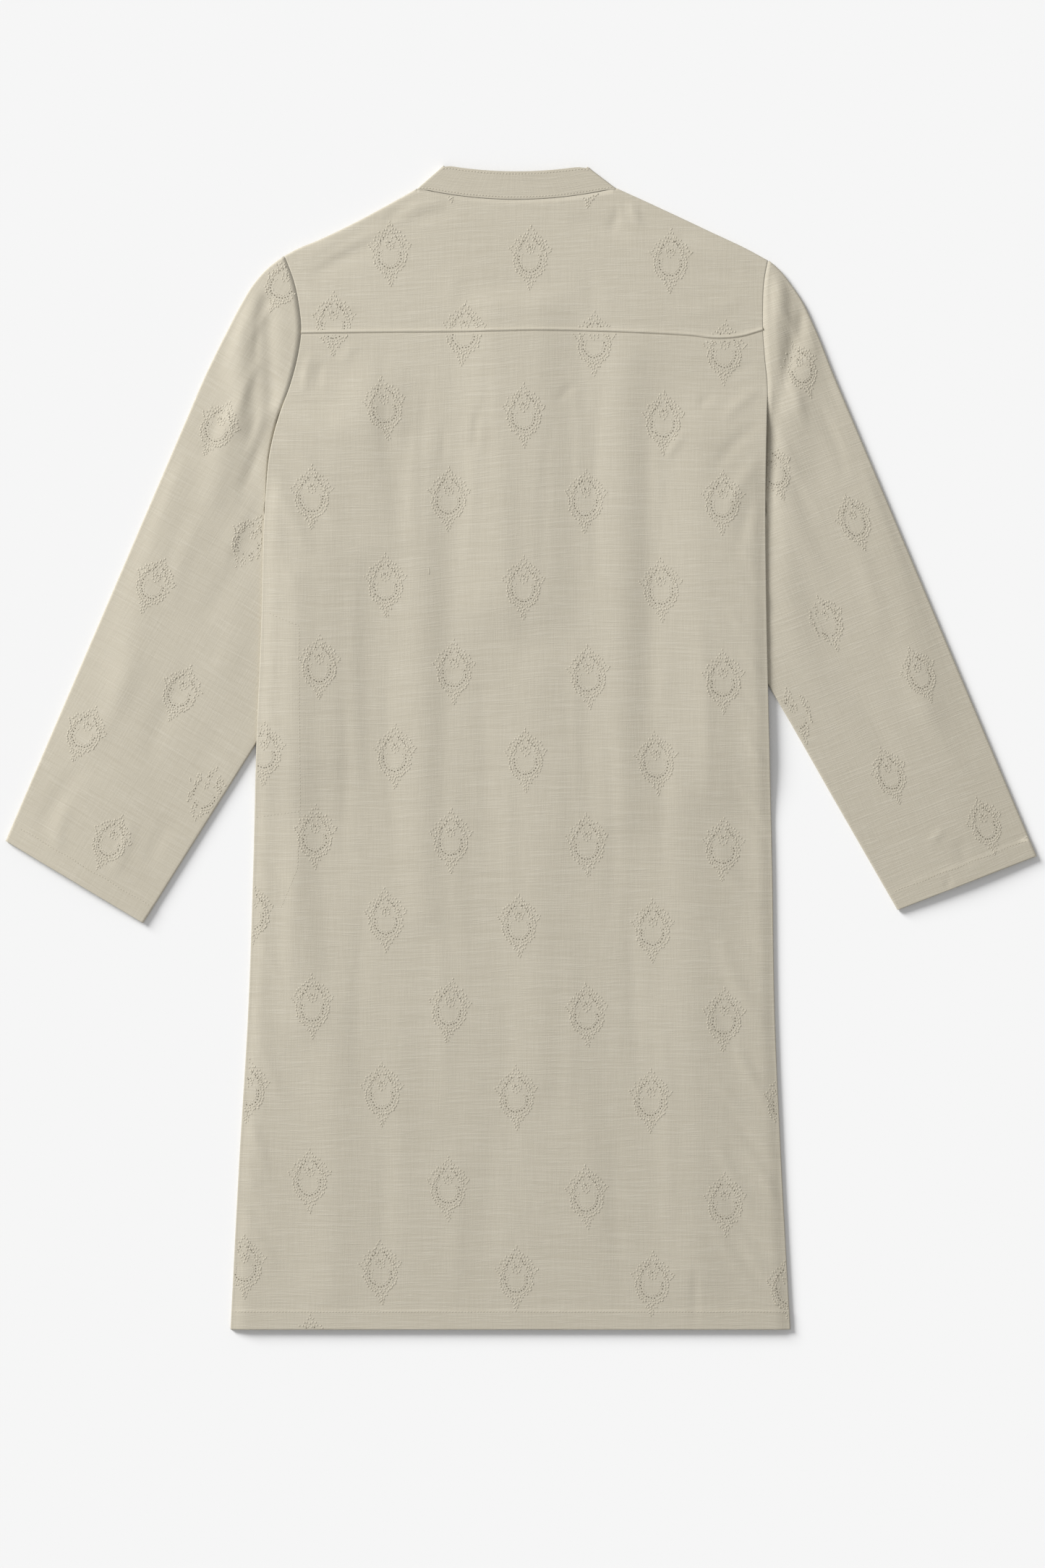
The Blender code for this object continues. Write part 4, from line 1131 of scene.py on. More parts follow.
hem_across = np.linspace(hem_left + 3.0, hem_right - 3.0, 300)
hem_stitch = np.stack((hem_across, np.full(300, hem_line - 1.6)), axis=-1)
# across, height
POCKET_LINE = np.array(
    (
        (-233.0, 123.5),
        (-219.0, 117.0),
        (-204.5, 111.5),
        (-204.2, 40.0),
        (-203.6, -52.0),
        (-206.0, -112.0),
        (-222.0, -150.0),
    )
)
POCKET_BAR = np.array(((-245.0, -65.0), (-204.3, -59.6)))
body_threads = [stitches_on(hem_stitch, body_lift, width=FINE_STITCH_WIDTH)]
for line in (POCKET_LINE, POCKET_BAR):
    body_threads.append(stitches_on(evened(line), body_lift, length=2.0, pitch=3.2, width=0.28))
# One thick knot of warp thread that stands out on the back
SLUB_PLACE = np.array(((-85.0, 165.6), (-84.6, 157.8)))
body_threads.append(stitches_on(SLUB_PLACE, body_lift, 7.6, 7.0, 0.42))
back_threads = lumps("back_stitches", *joined(body_threads))


def cuff_stitch(side):
    """The line of stitches round a cuff, seen on its upper side."""
    grid = sleeve_tops[side]
    along = cuff_lines[side]
    inner, outer = grid[-1, 0, :2], grid[-1, -1, :2]
    up_arm = np.array((-along[1], along[0]))
    up_arm = up_arm if up_arm[1] > 0 else -up_arm
    start = inner + up_arm * (CUFF_DEPTH - 1.6) + (outer - inner) * 0.02
    end = outer + up_arm * (CUFF_DEPTH - 1.6) - (outer - inner) * 0.035
    share = np.linspace(0.0, 1.0, 120)[:, None]
    return start + share * (end - start) + up_arm * 0.5 * np.sin(share * 23.0)


sleeve_threads = {}
for side in ("left", "right"):
    lift = lambda places, grid=sleeve_tops[side]: lift_of(grid, places)
    cuff_row = stitches_on(cuff_stitch(side), lift, width=FINE_STITCH_WIDTH)
    sleeve_threads[side] = lumps("sleeve_stitches_" + side, *cuff_row)

COLLAR_STITCH_SHARES = (0.09, 0.91)
FLAT_ENOUGH = 0.93
collar_rows = []
for share in COLLAR_STITCH_SHARES:
    at = collar_lower + collar_lean * share
    tangent = np.gradient(at, axis=0)
    normal = np.cross(tangent, collar_lean)
    normal /= np.linalg.norm(normal, axis=1, keepdims=True)
    run = run_along(at)
    places = np.arange(STITCH_PITCH, run[-1] - STITCH_PITCH, STITCH_PITCH)
    normals = read_at(places, run, normal)
    normals /= np.linalg.norm(normals, axis=1, keepdims=True)
    flat_part = np.abs(normals[:, 2]) > FLAT_ENOUGH
    centres = read_at(places, run, at) + normals * (WALL / 2 + 0.05)
    centres[:, 2] = np.maximum(centres[:, 2], STITCH_WIDTH * 0.75)
    sizes = np.tile((STITCH_LENGTH / 2, STITCH_WIDTH, STITCH_WIDTH * 0.7), (len(places), 1))
    row = (centres, read_at(places, run, tangent), sizes, normals)
    collar_rows.append([part[flat_part] for part in row])
collar_stitching = lumps("collar_stitches", *joined(collar_rows))

placket_left = NECK_CENTRE - PLACKET_WIDTH / 2 + 2.0
placket_right = NECK_CENTRE + PLACKET_WIDTH / 2 - 2.0
placket_low, placket_high = PLACKET_BOTTOM + 2.0, FRONT_NECK_TOP - FRONT_NECK_DROP - 3.0
placket_outline = np.array(
    (
        (placket_left, placket_high),
        (placket_left, placket_low),
        (placket_right, placket_low),
        (placket_right, placket_high),
    )
)
placket_threads = lumps("placket_stitches", *stitches_on(evened(placket_outline), front_lift))
front_hem_threads = lumps("front_stitches", *stitches_on(hem_stitch, front_lift, width=0.3))
print("hem stitches:", len(stitches_on(hem_stitch, body_lift)[0]))

# %% [markdown]
# ## The embroidered drops
# All over the cloth a small traditional drop is worked in thread of the cloth's own colour: an oval
# ring of knots, a second ring of dots, a row of pierced eyelets, a leafy crown with a point, a little
# flower inside and a few leaves hanging below. It is drawn as points on ovals and in short tables, so
# no picture is needed. The drops stand in rows, and every other row is moved half a step across.

# %% One drop
# Right half of the drop's small forms, in millimetres from its centre; the left half mirrors them
EAR = np.array(((17.6, 3.4), (19.2, 5.2), (20.4, 7.2)))
CROWN_EDGE = np.array(
    ((17.4, 8.6), (15.4, 11.6), (14.4, 14.6), (11.6, 15.6), (9.9, 18.4))
    + ((7.2, 18.4), (5.4, 21.2), (3.0, 21.4), (2.4, 24.4))
)
CROWN_FILL = np.array(
    ((14.4, 7.2), (12.4, 9.4), (11.6, 12.4), (9.0, 12.6), (8.0, 15.2), (5.4, 15.4))
    + ((4.4, 18.2), (1.9, 17.6), (9.8, 9.2), (6.4, 12.4), (2.8, 14.6), (12.0, 6.0))
)
INNER_FLOWER = np.array(((2.2, 8.6), (3.8, 6.8), (4.4, 9.4), (1.7, 10.9), (3.0, 4.4)))
HANGING = np.array(((3.0, -22.8), (5.0, -22.2), (2.0, -25.6), (1.4, -28.4)))
# On the drop's middle line, by height alone
STALK = np.array([(0.0, up) for up in (25.4, 28.2, 6.6, 2.8, -21.8, -24.2, -27.2, -30.4, 20.2)])
PIERCED = np.array(
    ((-6.6, 13.8), (6.6, 13.8), (-4.0, 16.8), (4.0, 16.8), (-8.8, 11.0), (8.8, 11.0), (0.0, 9.2))
)
# Rings: count, half width, half height, first and last angle, and each knot's three half sizes
RINGS = (
    (32, 15.8, 16.8, 40.0, 320.0, 1.25, 0.95, 0.5),
    (28, 13.2, 14.0, 44.0, 316.0, 1.05, 0.72, 0.38),
    (16, 8.6, 8.9, 60.0, 300.0, 1.05, 0.5, 0.25),
)
EYELET_RING = (15, 10.9, 11.4, 75.0, 285.0)
RING_DROP = 3.0
RING_STAGGER = 0.4
KNOT_HEIGHT = 0.42
SIDE_CLEARANCE = 1.8


def one_drop():
    """Knots of a drop about its centre: place, direction, half length, half width and height of each."""
    knots = []

    def oval(count, wide, tall, start, end):
        """Places on an oval, its width by the sine and its height by the cosine, and the ways along it."""
        turn = np.radians(np.linspace(start, end, count))
        place = np.stack((wide * np.sin(turn), tall * np.cos(turn) - RING_DROP), axis=-1)
        way = np.stack((wide * np.cos(turn), -tall * np.sin(turn)), axis=-1)
        return place, way / np.linalg.norm(way, axis=1, keepdims=True)

    def add(place, way, long, wide, high=KNOT_HEIGHT):
        """Knots of one size, each along its own way or all along one."""
        ways = np.broadcast_to(way, place.shape)
        size = np.tile((long, wide, high), (len(place), 1))
        knots.append(np.column_stack((place, ways, size)))

    for number, (*shape, long, wide, high) in enumerate(RINGS):
        ring, way = oval(*shape)
        if number == 0:
            in_or_out = np.where(np.arange(len(ring)) % 2, 1.0, -1.0)[:, None]
            ring += RING_STAGGER * in_or_out * ring / np.linalg.norm(ring, axis=1, keepdims=True)
        add(ring, way, long, wide, high)
    for sign in (-1.0, 1.0):
        add(EAR * (sign, 1.0), (sign * 0.75, 0.66), 1.3, 0.75)
        flowers = ((CROWN_EDGE, 1.3, 0.9), (CROWN_FILL, 1.2, 0.8), (INNER_FLOWER, 1.2, 0.75))
        for places, long, wide in flowers:
            ways = places / np.linalg.norm(places, axis=1, keepdims=True)
            add(places * (sign, 1.0), ways * (sign, 1.0), long, wide)
        add(HANGING * (sign, 1.0), (sign * 0.62, -0.78), 1.3, 0.8)
    add(STALK, (0.0, 1.0), 1.3, 0.85)
    pierced = np.column_stack((PIERCED, np.tile((1.0, 0.0), (len(PIERCED), 1))))
    holes = np.concatenate((np.column_stack(oval(*EYELET_RING)), pierced))
    return np.concatenate(knots), holes


DROP_KNOTS, DROP_HOLES = one_drop()

# Rows of drops: height at the left, height at the right, first across, last across, number
DROP_ROWS = (
    (532.5, 527.0, -67.0, 64.0, 2),
    (455.6, 448.4, -121.0, 137.5, 3),
    (391.0, 364.0, -173.0, 187.5, 4),
    (313.0, 300.0, -126.0, 131.0, 3),
    (231.0, 226.0, -193.0, 185.5, 4),
    (150.0, 146.0, -125.0, 129.0, 3),
    (74.5, 61.0, -186.0, 186.0, 4),
    (-5.0, -14.0, -237.0, 124.5, 4),
    (-82.0, -93.0, -190.0, 186.0, 4),
    (-153.5, -168.5, -248.0, 121.0, 4),
    (-238.0, -250.0, -192.5, 187.0, 4),
    (-316.0, -328.0, -252.0, 243.0, 5),
    (-399.0, -420.5, -195.0, 188.0, 4),
    (-478.0, -499.0, -255.0, 246.0, 5),
    (-552.0, -580.0, -194.0, 60.0, 3),
)
# Drops on each sleeve: across, height
SLEEVE_DROPS = {
    "left": (
        (-219.5, 426.7),
        (-279.4, 294.5),
        (-250.5, 189.7),
        (-338.7, 149.9),
        (-314.1, 50.2),
        (-402.3, 12.7),
        (-291.0, -43.0),
        (-378.5, -87.1),
    ),
    "right": (
        (258.2, 348.7),
        (233.7, 254.7),
        (307.4, 207.7),
        (282.1, 115.3),
        (367.3, 66.9),
        (253.2, 29.3),
        (339.9, -25.7),
        (428.1, -71.9),
    ),
}
DROP_TILT = {"left": -24.0, "right": 20.0}
# How wide and tall the drops are on each cloth, as a share of the drop drawn above
DROP_SIZE = {"body": (0.95, 1.0), "left": (0.92, 0.93), "right": (0.8, 0.93)}
print("knots and holes in a drop:", len(DROP_KNOTS), len(DROP_HOLES))

# %% Placing the drops
def drop_centres():
    """Centres of all the body's drops, evenly between each row's ends."""
    centres = []
    for left_height, right_height, first, last, count in DROP_ROWS:
        share = np.linspace(0.0, 1.0, count)
        across = first + share * (last - first)
        height = left_height + share * (right_height - left_height)
        centres.append(np.column_stack((across, height)))
    return np.concatenate(centres)


def turned_about(centres, parts, where, seed):
    """Every part of a drop put at every centre, sized and turned, and shifted a hair as hand work is."""
    chance = np.random.default_rng(seed)
    tilt = DROP_TILT.get(where, 0.0)
    angle = np.radians(tilt + chance.normal(0.0, 2.0, len(centres)))[:, None]
    cos, sin = np.cos(angle), np.sin(angle)
    px, py, wx, wy = (parts[None, :, k] * DROP_SIZE[where][k % 2] for k in range(4))
    x = centres[:, :1] + px * cos - py * sin
    y = centres[:, 1:] + px * sin + py * cos
    place = np.stack((x, y), axis=-1).reshape(-1, 2)
    place += chance.normal(0.0, 0.3, place.shape)
    way = np.stack((wx * cos - wy * sin, wx * sin + wy * cos), axis=-1).reshape(-1, 2)
    way += chance.normal(0.0, 0.3, way.shape) * np.linalg.norm(way, axis=1, keepdims=True)
    sizes = np.tile(parts[:, 4:], (len(centres), 1))
    return place, way, sizes * chance.uniform(0.8, 1.25, sizes.shape)


def seated(place, way, sizes, lift, sink):
    """Knots laid on the cloth: raised to its height and turned to its slope."""
    up, normal = lift(place)
    way = with_height(way, np.zeros(len(way)))
    way -= normal * (way * normal).sum(1, keepdims=True)
    centres = with_height(place, up) - normal * sizes[:, 2:3] * sink
    return centres, way, sizes, normal


def clear_of_sides(place):
    """Which places lie inside both sides of the body, clear of the edges."""
    return np.maximum(beyond_edge("left", *place.T), beyond_edge("right", *place.T)) < -SIDE_CLEARANCE


def on_back(place):
    """Which places lie on the back panel, clear of its edges."""
    return (above_seam(*place.T) < -2.0) & (place[:, 1] > HEM_HEIGHT + 1.5) & clear_of_sides(place)


def on_yoke(place):
    """Which places lie on the yoke, clear of its edges."""
    left, right = SHOULDER_FOLD["left"], SHOULDER_FOLD["right"]
    outline = np.concatenate((left, ((NECK_CENTRE, BACK_NECK_LOW),), right[::-1]))
    top = np.interp(place[:, 0], outline[:, 0], outline[:, 1])
    in_neck = (place[:, 0] > left[-1, 0]) & (place[:, 0] < right[-1, 0])
    top = np.where(in_neck, back_neck_height(place[:, 0]), top)
    below_top = place[:, 1] < top - np.where(in_neck, 1.6, 3.2)
    return (above_seam(*place.T) > 3.2) & below_top & clear_of_sides(place)


# An eyelet is a short spindle set almost flush, by its three half sizes; its dark colour is painted shade
# for the inside of the pierced hole
EYELET_SIZE = (0.68, 0.62, 0.16)
embroidery, eyelets = {}, {}


def drops_at(centres, where, seed):
    """The knots and the eyelets of the drops at these centres: places, directions and sizes of each."""
    place, way, _ = turned_about(centres, DROP_HOLES, where, seed)
    holes = (place, way, np.tile(EYELET_SIZE, (len(place), 1)))
    return turned_about(centres, DROP_KNOTS, where, seed), holes


def sewn_on(key, name, knots, holes, test, lift):
    """Knots and eyelets laid on one piece of cloth, those that its test of places lets through."""
    # Eyelets sit almost flush and carry painted shade, a dark tone for the inside of each hole
    kinds = ((embroidery, "embroidery", knots, 0.15), (eyelets, "eyelets", holes, -0.2))
    for made, kind, parts, sink in kinds:
        keep = test(parts[0])
        made[key] = lumps(name.format(kind), *seated(*[part[keep] for part in parts], lift, sink))


body_drops = drops_at(drop_centres(), "body", 3)
sewn_on("back", "back_{}", *body_drops, on_back, body_lift)
sewn_on("yoke", "yoke_{}", *body_drops, on_yoke, body_lift)


def distance_to(points, places):
    """How far each place is from the nearest of the points, a few hundred places at a time."""
    parts = np.array_split(places, max(1, len(places) // 200))
    return np.concatenate([np.linalg.norm(some[:, None] - points[None], axis=-1).min(1) for some in parts])


def sleeve_clear(side, place):
    """Which places lie on a sleeve's upper side, clear of the body, the cuff's end and both folds."""
    top = sleeve_tops[side][..., :2]
    rim = np.concatenate((top[:, 0], top[:, -1], top[-1]))
    outside = beyond_edge(side, *place.T)
    within = distance_to(top[:-1, 1:-1].reshape(-1, 2), place) < 2.6
    return within & (distance_to(rim, place) > 2.5) & (outside > 2.0)


for side in ("left", "right"):
    test = lambda places, side=side: sleeve_clear(side, places)
    lift = lambda places, grid=sleeve_tops[side]: lift_of(grid, places)
    sleeve_drops = drops_at(np.array(SLEEVE_DROPS[side]), side, 5)
    sewn_on(side, "sleeve_{}_" + side, *sleeve_drops, test, lift)
print("embroidery triangles:", {name: len(piece.data.polygons) for name, piece in embroidery.items()})

# %% [markdown]
# ## Buttons
# A flat shirt button has a rounded rim, a shallow dish and four holes. A Boolean could cut the holes,
# but it leaves uneven faces round them. Here each button is turned from a profile, as on a lathe, the
# holes are short cups set into the dish, dark with painted shade for their depth, and two stitches
# cross between them.

# %% Buttons on the placket
# Share of the radius, share of the thickness
BUTTON_PROFILE = np.array(
    ((0.02, 0.8), (0.35, 0.8), (0.6, 0.8), (0.68, 0.93), (0.74, 1.0), (0.88, 1.0), (0.97, 0.9), (1.0, 0.62))
    + ((1.0, 0.35), (0.95, 0.1), (0.86, 0.0), (0.6, 0.0), (0.3, 0.0), (0.02, 0.0))
) * (BUTTON_RADIUS, BUTTON_THICKNESS)
BUTTON_TURNS = 48
HOLE_OFFSET = 1.15
HOLE_SIZE = (0.62, 0.6, 0.14)
CROSS_SIZE = (1.7, 0.24, 0.14)
CROSS_HEIGHT = 0.38
DOWN = (0.0, 0.0, -1.0)


def button(number, height):
    """A profile turned about the button's axis: radius times the cosine and sine, with the caps filled."""
    turn = np.arange(BUTTON_TURNS) * 2 * np.pi / BUTTON_TURNS
    x = NECK_CENTRE + BUTTON_PROFILE[:, :1] * np.cos(turn)
    y = height + BUTTON_PROFILE[:, :1] * np.sin(turn)
    up = BUTTON_THICKNESS - BUTTON_PROFILE[:, 1:] + 0.0 * turn
    points = np.stack((x, y, up), axis=-1).reshape(-1, 3)
    index = np.arange(len(points)).reshape(x.shape)
    following = np.roll(index, -1, axis=1)
    faces = np.stack((index[:-1], following[:-1], following[1:], index[1:]), axis=-1).reshape(-1, 4)
    centre_points = np.array(((NECK_CENTRE, height, up[0, 0]), (NECK_CENTRE, height, up[-1, 0])))
    centre = np.full(BUTTON_TURNS, len(points))
    cap_one = np.stack((index[0], centre, following[0]), axis=-1)
    cap_two = np.stack((following[-1], centre + 1, index[-1]), axis=-1)
    triangles = np.concatenate((faces[:, [0, 1, 2]], faces[:, [0, 2, 3]], cap_one, cap_two))
    return mesh_object(f"button_disc_{number}", np.concatenate((points, centre_points)), triangles)


buttons, button_holes = [], []
corners = np.array(((-1.0, -1.0), (1.0, -1.0), (-1.0, 1.0), (1.0, 1.0)))
for number, height in enumerate(BUTTON_HEIGHTS, start=1):
    buttons.append(button(number, height))
    # The holes are dark cups: painted shade for the depth of each hole
    spots = with_height(corners * HOLE_OFFSET + (NECK_CENTRE, height), np.full(4, BUTTON_THICKNESS * 0.2))
    rest = [np.tile(values, (4, 1)) for values in ((1.0, 0.0, 0.0), HOLE_SIZE, DOWN)]
    button_holes.append(lumps(f"button_holes_{number}", spots, *rest))
cross_places = np.repeat([(NECK_CENTRE, height, CROSS_HEIGHT) for height in BUTTON_HEIGHTS], 2, axis=0)
cross_ways = np.tile(((1.0, 1.0, 0.0), (1.0, -1.0, 0.0)), (len(BUTTON_HEIGHTS), 1))
rest = [np.tile(values, (len(cross_places), 1)) for values in (CROSS_SIZE, DOWN)]
button_crosses = lumps("button_crosses", cross_places, cross_ways, *rest)
print("button faces:", len(buttons[0].data.polygons))

# %% [markdown]
# ## The slub weave
# The cloth has a fine even warp and a weft whose thread swells and thins, so pale streaks run across
# it. An image could carry that, but a noise stretched along the threads never repeats and is sharp at
# any size. It is one node group with its own values in each material. It reads the UV map "threads",
# whose first number runs along the weft, so the streaks follow the cut of each piece.

# %% Node helpers
def add_node(tree, kind, inputs=None, **values):
    """A node with its settings and its unlinked inputs filled in."""
    made = tree.nodes.new(kind)
    for name, value in values.items():
        setattr(made, name, value)
    for name, value in (inputs or {}).items():
        made.inputs[name].default_value = value
    return made


def streaks(tree, vector, along, across, detail, rough):
    """Noise drawn out along the threads: so many patches a metre along them and across them."""
    mapped = add_node(tree, "ShaderNodeMapping", {"Scale": (along, across, 1.0)})
    tree.links.new(vector, mapped.inputs["Vector"])
    noise = add_node(tree, "ShaderNodeTexNoise", {"Scale": 1.0, "Detail": detail, "Roughness": rough})
    noise.noise_dimensions = "2D"
    tree.links.new(mapped.outputs["Vector"], noise.inputs["Vector"])
    return noise.outputs["Fac"]


def ranged(tree, value, low, high, out_low=0.0, out_high=1.0):
    """A value moved from one range to another, and kept inside it."""
    made = add_node(
        tree,
        "ShaderNodeMapRange",
        {"From Min": low, "From Max": high, "To Min": out_low, "To Max": out_high},
    )
    tree.links.new(value, made.inputs["Value"])
    return made.outputs["Result"]


def combined(tree, operation, first, second):
    """Two values put together by one operation; either may be a plain number."""
    made = add_node(tree, "ShaderNodeMath", operation=operation)
    for socket, value in zip(made.inputs, (first, second)):
        if isinstance(value, (int, float)):
            socket.default_value = value
        else:
            tree.links.new(value, socket)
    return made.outputs["Value"]


def mixed(tree, factor, first, second):
    """Two colours mixed by a factor; each may be a plain colour."""
    made = add_node(tree, "ShaderNodeMix", data_type="RGBA")
    tree.links.new(factor, made.inputs["Factor"])
    for name, value in (("A", first), ("B", second)):
        socket = [s for s in made.inputs if s.name == name and s.type == "RGBA"][0]
        if isinstance(value, tuple):
            socket.default_value = value
        else:
            tree.links.new(value, socket)
    return [s for s in made.outputs if s.type == "RGBA"][0]


def new_material(name, inputs):
    """A material with its node tree and its shader, and some of the shader's inputs filled in."""
    material = bpy.data.materials.new(name)
    material.use_nodes = True
    shader = material.node_tree.nodes["Principled BSDF"]
    for key, value in inputs.items():
        shader.inputs[key].default_value = value
    return material, material.node_tree, shader


print("helpers ready")

# %% The weave group
def slub_weave_group():
    """Colour, relief and roughness of the cloth, from three tones and the place along its threads."""
    group = bpy.data.node_groups.new("slub_weave", "ShaderNodeTree")
    tones = {"Ground": "Color", "Slub": "Color", "Shade": "Color"}
    inputs = {"Threads": "Vector", **tones, "Slub amount": "Float"}
    outputs = {"Colour": "Color", "Relief": "Float", "Roughness": "Float"}
    for way, sockets in (("INPUT", inputs), ("OUTPUT", outputs)):
        for name, kind in sockets.items():
            group.interface.new_socket(name, in_out=way, socket_type="NodeSocket" + kind)
    start = add_node(group, "NodeGroupInput")
    end = add_node(group, "NodeGroupOutput")
    bend = streaks(group, start.outputs["Threads"], 12.0, 14.0, 1.0, 0.5)
    bend = ranged(group, bend, 0.2, 0.8, -0.0014, 0.0014)
    aside = add_node(group, "ShaderNodeCombineXYZ")
    group.links.new(bend, aside.inputs["Y"])
    moved = add_node(group, "ShaderNodeVectorMath", operation="ADD")
    group.links.new(start.outputs["Threads"], moved.inputs[0])
    group.links.new(aside.outputs["Vector"], moved.inputs[1])
    threads = moved.outputs["Vector"]
    thin_slub = ranged(group, streaks(group, threads, 42.0, 900.0, 2.0, 0.6), 0.5, 0.74)
    long_slub = ranged(group, streaks(group, threads, 16.0, 520.0, 2.0, 0.6), 0.56, 0.78)
    dark_weft = ranged(group, streaks(group, threads, 14.0, 520.0, 2.0, 0.5), 0.30, 0.5, 1.0, 0.0)
    warp = ranged(group, streaks(group, threads, 700.0, 34.0, 2.0, 0.5), 0.3, 0.7)
    grain = ranged(group, streaks(group, threads, 1300.0, 1300.0, 2.0, 0.6), 0.25, 0.75)
    cloud = ranged(group, streaks(group, threads, 9.0, 6.0, 3.0, 0.5), 0.3, 0.7)
    slubs = combined(group, "MAXIMUM", thin_slub, long_slub)
    amount = combined(group, "MULTIPLY", slubs, start.outputs["Slub amount"])
    shade = combined(group, "MULTIPLY", dark_weft, 0.22)
    for part, share in ((warp, 0.22), (grain, 0.22), (cloud, 0.14)):
        shade = combined(group, "ADD", shade, combined(group, "MULTIPLY", part, share))
    toned = mixed(group, shade, start.outputs["Ground"], start.outputs["Shade"])
    toned = mixed(group, amount, toned, start.outputs["Slub"])
    relief = combined(group, "MULTIPLY", slubs, 0.6)
    for part, share in ((warp, 0.2), (grain, 0.3)):
        relief = combined(group, "ADD", relief, combined(group, "MULTIPLY", part, share))
    rough = ranged(group, slubs, 0.0, 1.0, 0.86, 0.7)
    group.links.new(toned, end.inputs["Colour"])
    group.links.new(relief, end.inputs["Relief"])
    group.links.new(rough, end.inputs["Roughness"])
    return group


SLUB_WEAVE = slub_weave_group()
print("weave group inputs:", [item.name for item in SLUB_WEAVE.interface.items_tree])

# %% Cloth, thread and button materials
def cloth_material(name, ground, slub, shade, slub_amount=0.32, relief=0.00022):
    """The weave group feeding one Principled shader, with a soft sheen for the linen in it."""
    look = {"Sheen Weight": 0.06, "Sheen Roughness": 0.45, "Specular IOR Level": 0.25}
    material, tree, shader = new_material(name, look)
    place = add_node(tree, "ShaderNodeUVMap", uv_map="threads")
    tones = {"Ground": ground, "Slub": slub, "Shade": shade, "Slub amount": slub_amount}
    weave = add_node(tree, "ShaderNodeGroup", tones, node_tree=SLUB_WEAVE)
    bump = add_node(tree, "ShaderNodeBump", {"Strength": 0.8, "Distance": relief})
    tree.links.new(place.outputs["UV"], weave.inputs["Threads"])
    tree.links.new(weave.outputs["Colour"], shader.inputs["Base Color"])
    tree.links.new(weave.outputs["Roughness"], shader.inputs["Roughness"])
    tree.links.new(weave.outputs["Relief"], bump.inputs["Height"])
    tree.links.new(bump.outputs["Normal"], shader.inputs["Normal"])
    return material


def thread_material(name, light, dark):
    """Twisted thread: two close tones in a fine noise, with a little gloss."""
    material, tree, shader = new_material(name, {"Roughness": 0.62, "Sheen Weight": 0.06})
    place = add_node(tree, "ShaderNodeTexCoord")
    noise = add_node(tree, "ShaderNodeTexNoise", {"Scale": 900.0, "Detail": 2.0})
    tree.links.new(place.outputs["Object"], noise.inputs["Vector"])
    tone = ranged(tree, noise.outputs["Fac"], 0.35, 0.65)
    tree.links.new(mixed(tree, tone, dark, light), shader.inputs["Base Color"])
    bump = add_node(tree, "ShaderNodeBump", {"Strength": 0.5, "Distance": 0.0002})
    tree.links.new(noise.outputs["Fac"], bump.inputs["Height"])
    tree.links.new(bump.outputs["Normal"], shader.inputs["Normal"])
    return material


GROUND = (0.560, 0.516, 0.420, 1.0)
SLUB = (0.650, 0.608, 0.512, 1.0)
SHADE = (0.462, 0.420, 0.332, 1.0)
cloth = cloth_material("slub_cloth", GROUND, SLUB, SHADE)
collar_cloth = cloth_material("collar_slub_cloth", GROUND, SLUB, SHADE, 0.2)
sewing_thread = thread_material("sewing_thread", (0.585, 0.54, 0.442, 1.0), (0.48, 0.438, 0.347, 1.0))
embroidery_thread = thread_material(
    "embroidery_thread", (0.575, 0.53, 0.433, 1.0), (0.465, 0.424, 0.335, 1.0)
)
# Eyelets and button holes get painted shade: a dark tone for the inside of each hole
eyelet_shade = thread_material("eyelet_shade", (0.20, 0.17, 0.12, 1.0), (0.11, 0.095, 0.065, 1.0))


def button_material():
    """A plain button of pressed corozo: a cloudy grain, and a clear coat over it."""
    material, tree, shader = new_material("button_shell", {"Roughness": 0.38, "Coat Weight": 0.3})
    place = add_node(tree, "ShaderNodeTexCoord")
    noise = add_node(tree, "ShaderNodeTexNoise", {"Scale": 260.0, "Detail": 4.0, "Distortion": 1.5})
    tree.links.new(place.outputs["Object"], noise.inputs["Vector"])
    tone = ranged(tree, noise.outputs["Fac"], 0.35, 0.7)
    colour = mixed(tree, tone, (0.50, 0.45, 0.34, 1.0), (0.36, 0.31, 0.21, 1.0))
    tree.links.new(colour, shader.inputs["Base Color"])
    return material


button_shell = button_material()
for piece in (back, yoke, front, placket, pocket, sleeves["left"], sleeves["right"]):
    piece.data.materials.append(cloth)
collar.data.materials.append(collar_cloth)
stitched = [back_threads, collar_stitching, placket_threads, front_hem_threads]
for piece in stitched + list(sleeve_threads.values()) + [button_crosses]:
    piece.data.materials.append(sewing_thread)
for piece in embroidery.values():
    piece.data.materials.append(embroidery_thread)
for piece in list(eyelets.values()) + button_holes:
    piece.data.materials.append(eyelet_shade)
for piece in buttons:
    piece.data.materials.append(button_shell)
print("materials:", len(bpy.data.materials))

# %% [markdown]
# ## Joining the pieces to the frame
# Every piece rides on the one body there is. Each piece of cloth and each button hides the solid that it
# stands for.


def stated(piece, node):
    """Puts a piece of cloth on the root body and hides the solid that it stands for."""
    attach(piece, "root")
    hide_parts(node)


for piece in stitched + list(sleeve_threads.values()) + list(embroidery.values()) + list(eyelets.values()):
    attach(piece, "root")
for number, piece in enumerate(buttons, start=1):
    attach(piece, "root")
    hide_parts(f"button_{number}")
for piece in button_holes + [button_crosses]:
    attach(piece, "root")

stated(back, "back_panel")
stated(yoke, "back_yoke")
stated(front, "front_panel")
stated(placket, "placket")
stated(pocket, "pocket_bag")
stated(collar, "collar")
for side in ("left", "right"):
    stated(sleeves[side], "sleeve_" + side)

# %% [markdown]
# ## Floor, light and camera
# The garment was photographed from straight above on a white surface, with light from the upper left.
# A sun lamp with a wide angle lights the floor alone, so that it stays even. A wide disc of light lights
# the garment alone and falls off across it, as a window's does, and a white world fills the shadows. A
# long lens keeps the edges of the garment true.

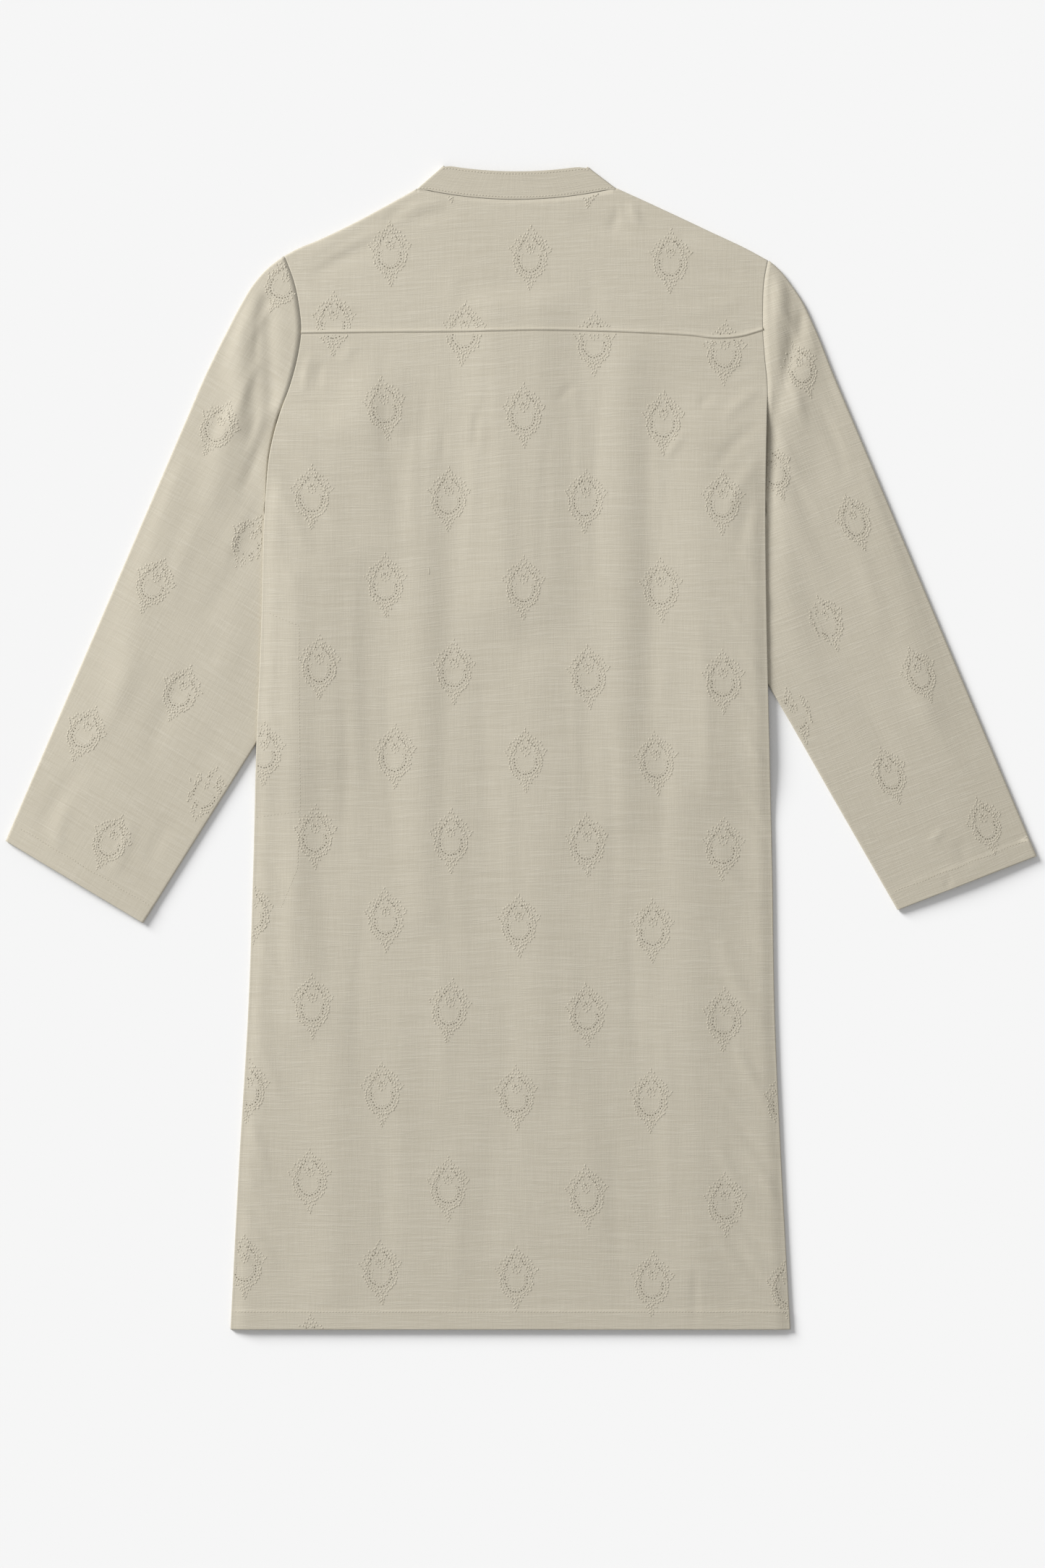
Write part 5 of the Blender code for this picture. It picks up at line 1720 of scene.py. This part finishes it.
# %% Stage
FLOOR_REACH = 6.0
FLOOR_LEVEL = -0.0002
floor_mesh = bpy.data.meshes.new("floor")
floor_signs = ((-1, -1), (1, -1), (1, 1), (-1, 1))
floor_points = [(x * FLOOR_REACH, y * FLOOR_REACH, FLOOR_LEVEL) for x, y in floor_signs]
floor_mesh.from_pydata(floor_points, [], [(0, 1, 2, 3)])
floor = bpy.data.objects.new("floor", floor_mesh)
bpy.context.scene.collection.objects.link(floor)
matt_white = {"Base Color": (0.86, 0.86, 0.86, 1.0), "Roughness": 0.95, "Specular IOR Level": 0.1}
floor_mesh.materials.append(new_material("floor_white", matt_white)[0])

world = bpy.data.worlds.new("white_room")
world.use_nodes = True
world.node_tree.nodes["Background"].inputs["Color"].default_value = (1.0, 1.0, 1.0, 1.0)
world.node_tree.nodes["Background"].inputs["Strength"].default_value = 0.45
bpy.context.scene.world = world
bpy.context.scene.view_settings.view_transform = "Standard"


def sun_lamp(name, strength, azimuth, elevation, spread):
    """A lamp far away: azimuth is where it stands, counted from the top of the picture towards the left."""
    lamp = bpy.data.lights.new(name, "SUN")
    lamp.energy = strength
    lamp.angle = np.radians(spread)
    made = bpy.data.objects.new(name, lamp)
    bpy.context.scene.collection.objects.link(made)
    made.rotation_euler = (np.radians(90.0 - elevation), 0.0, np.radians(azimuth + 180.0))
    return made


def lit_only(lamp, name, pieces):
    """Let a lamp light these pieces alone; it still casts everything's shadow."""
    group = bpy.data.collections.new(name)
    for piece in pieces:
        group.objects.link(piece)
    lamp.light_linking.receiver_collection = group


floor_lamp = sun_lamp("floor_lamp", 5.7, 50.0, 20.0, 24.0)
lit_only(floor_lamp, "floor_lit", [floor])

# The window beside the table: its light falls off towards the lower right of the cloth
window = bpy.data.lights.new("window_lamp", "AREA")
window.shape = "DISK"
window.size = 3.4
window.energy = 392.0
window_lamp = bpy.data.objects.new("window_lamp", window)
bpy.context.scene.collection.objects.link(window_lamp)
window_lamp.location = (-4.2, 2.6, 2.9)
window_lamp.visible_camera = False
window_lamp.rotation_euler = mathutils.Vector((4.2, -2.6, -2.9)).to_track_quat("-Z", "Y").to_euler()
cloth_and_trim = [piece for piece in bpy.context.scene.objects if piece.type == "MESH" and piece != floor]
lit_only(window_lamp, "garment_lit", cloth_and_trim)

# %% Camera
LENS = 100.0
SENSOR = 36.0
FRAME_LONG_SIDE = 1.4453
camera_data = bpy.data.cameras.new("camera_above")
camera_data.lens = LENS
camera_data.sensor_width = SENSOR
camera = bpy.data.objects.new("camera_above", camera_data)
bpy.context.scene.collection.objects.link(camera)
camera.location = (0.0013, -0.0343, 0.004 + FRAME_LONG_SIDE * LENS / SENSOR)
camera_data.clip_start, camera_data.clip_end = 0.1, 20.0
bpy.context.scene.camera = camera
print("camera height:", round(camera.location.z, 3), "m")
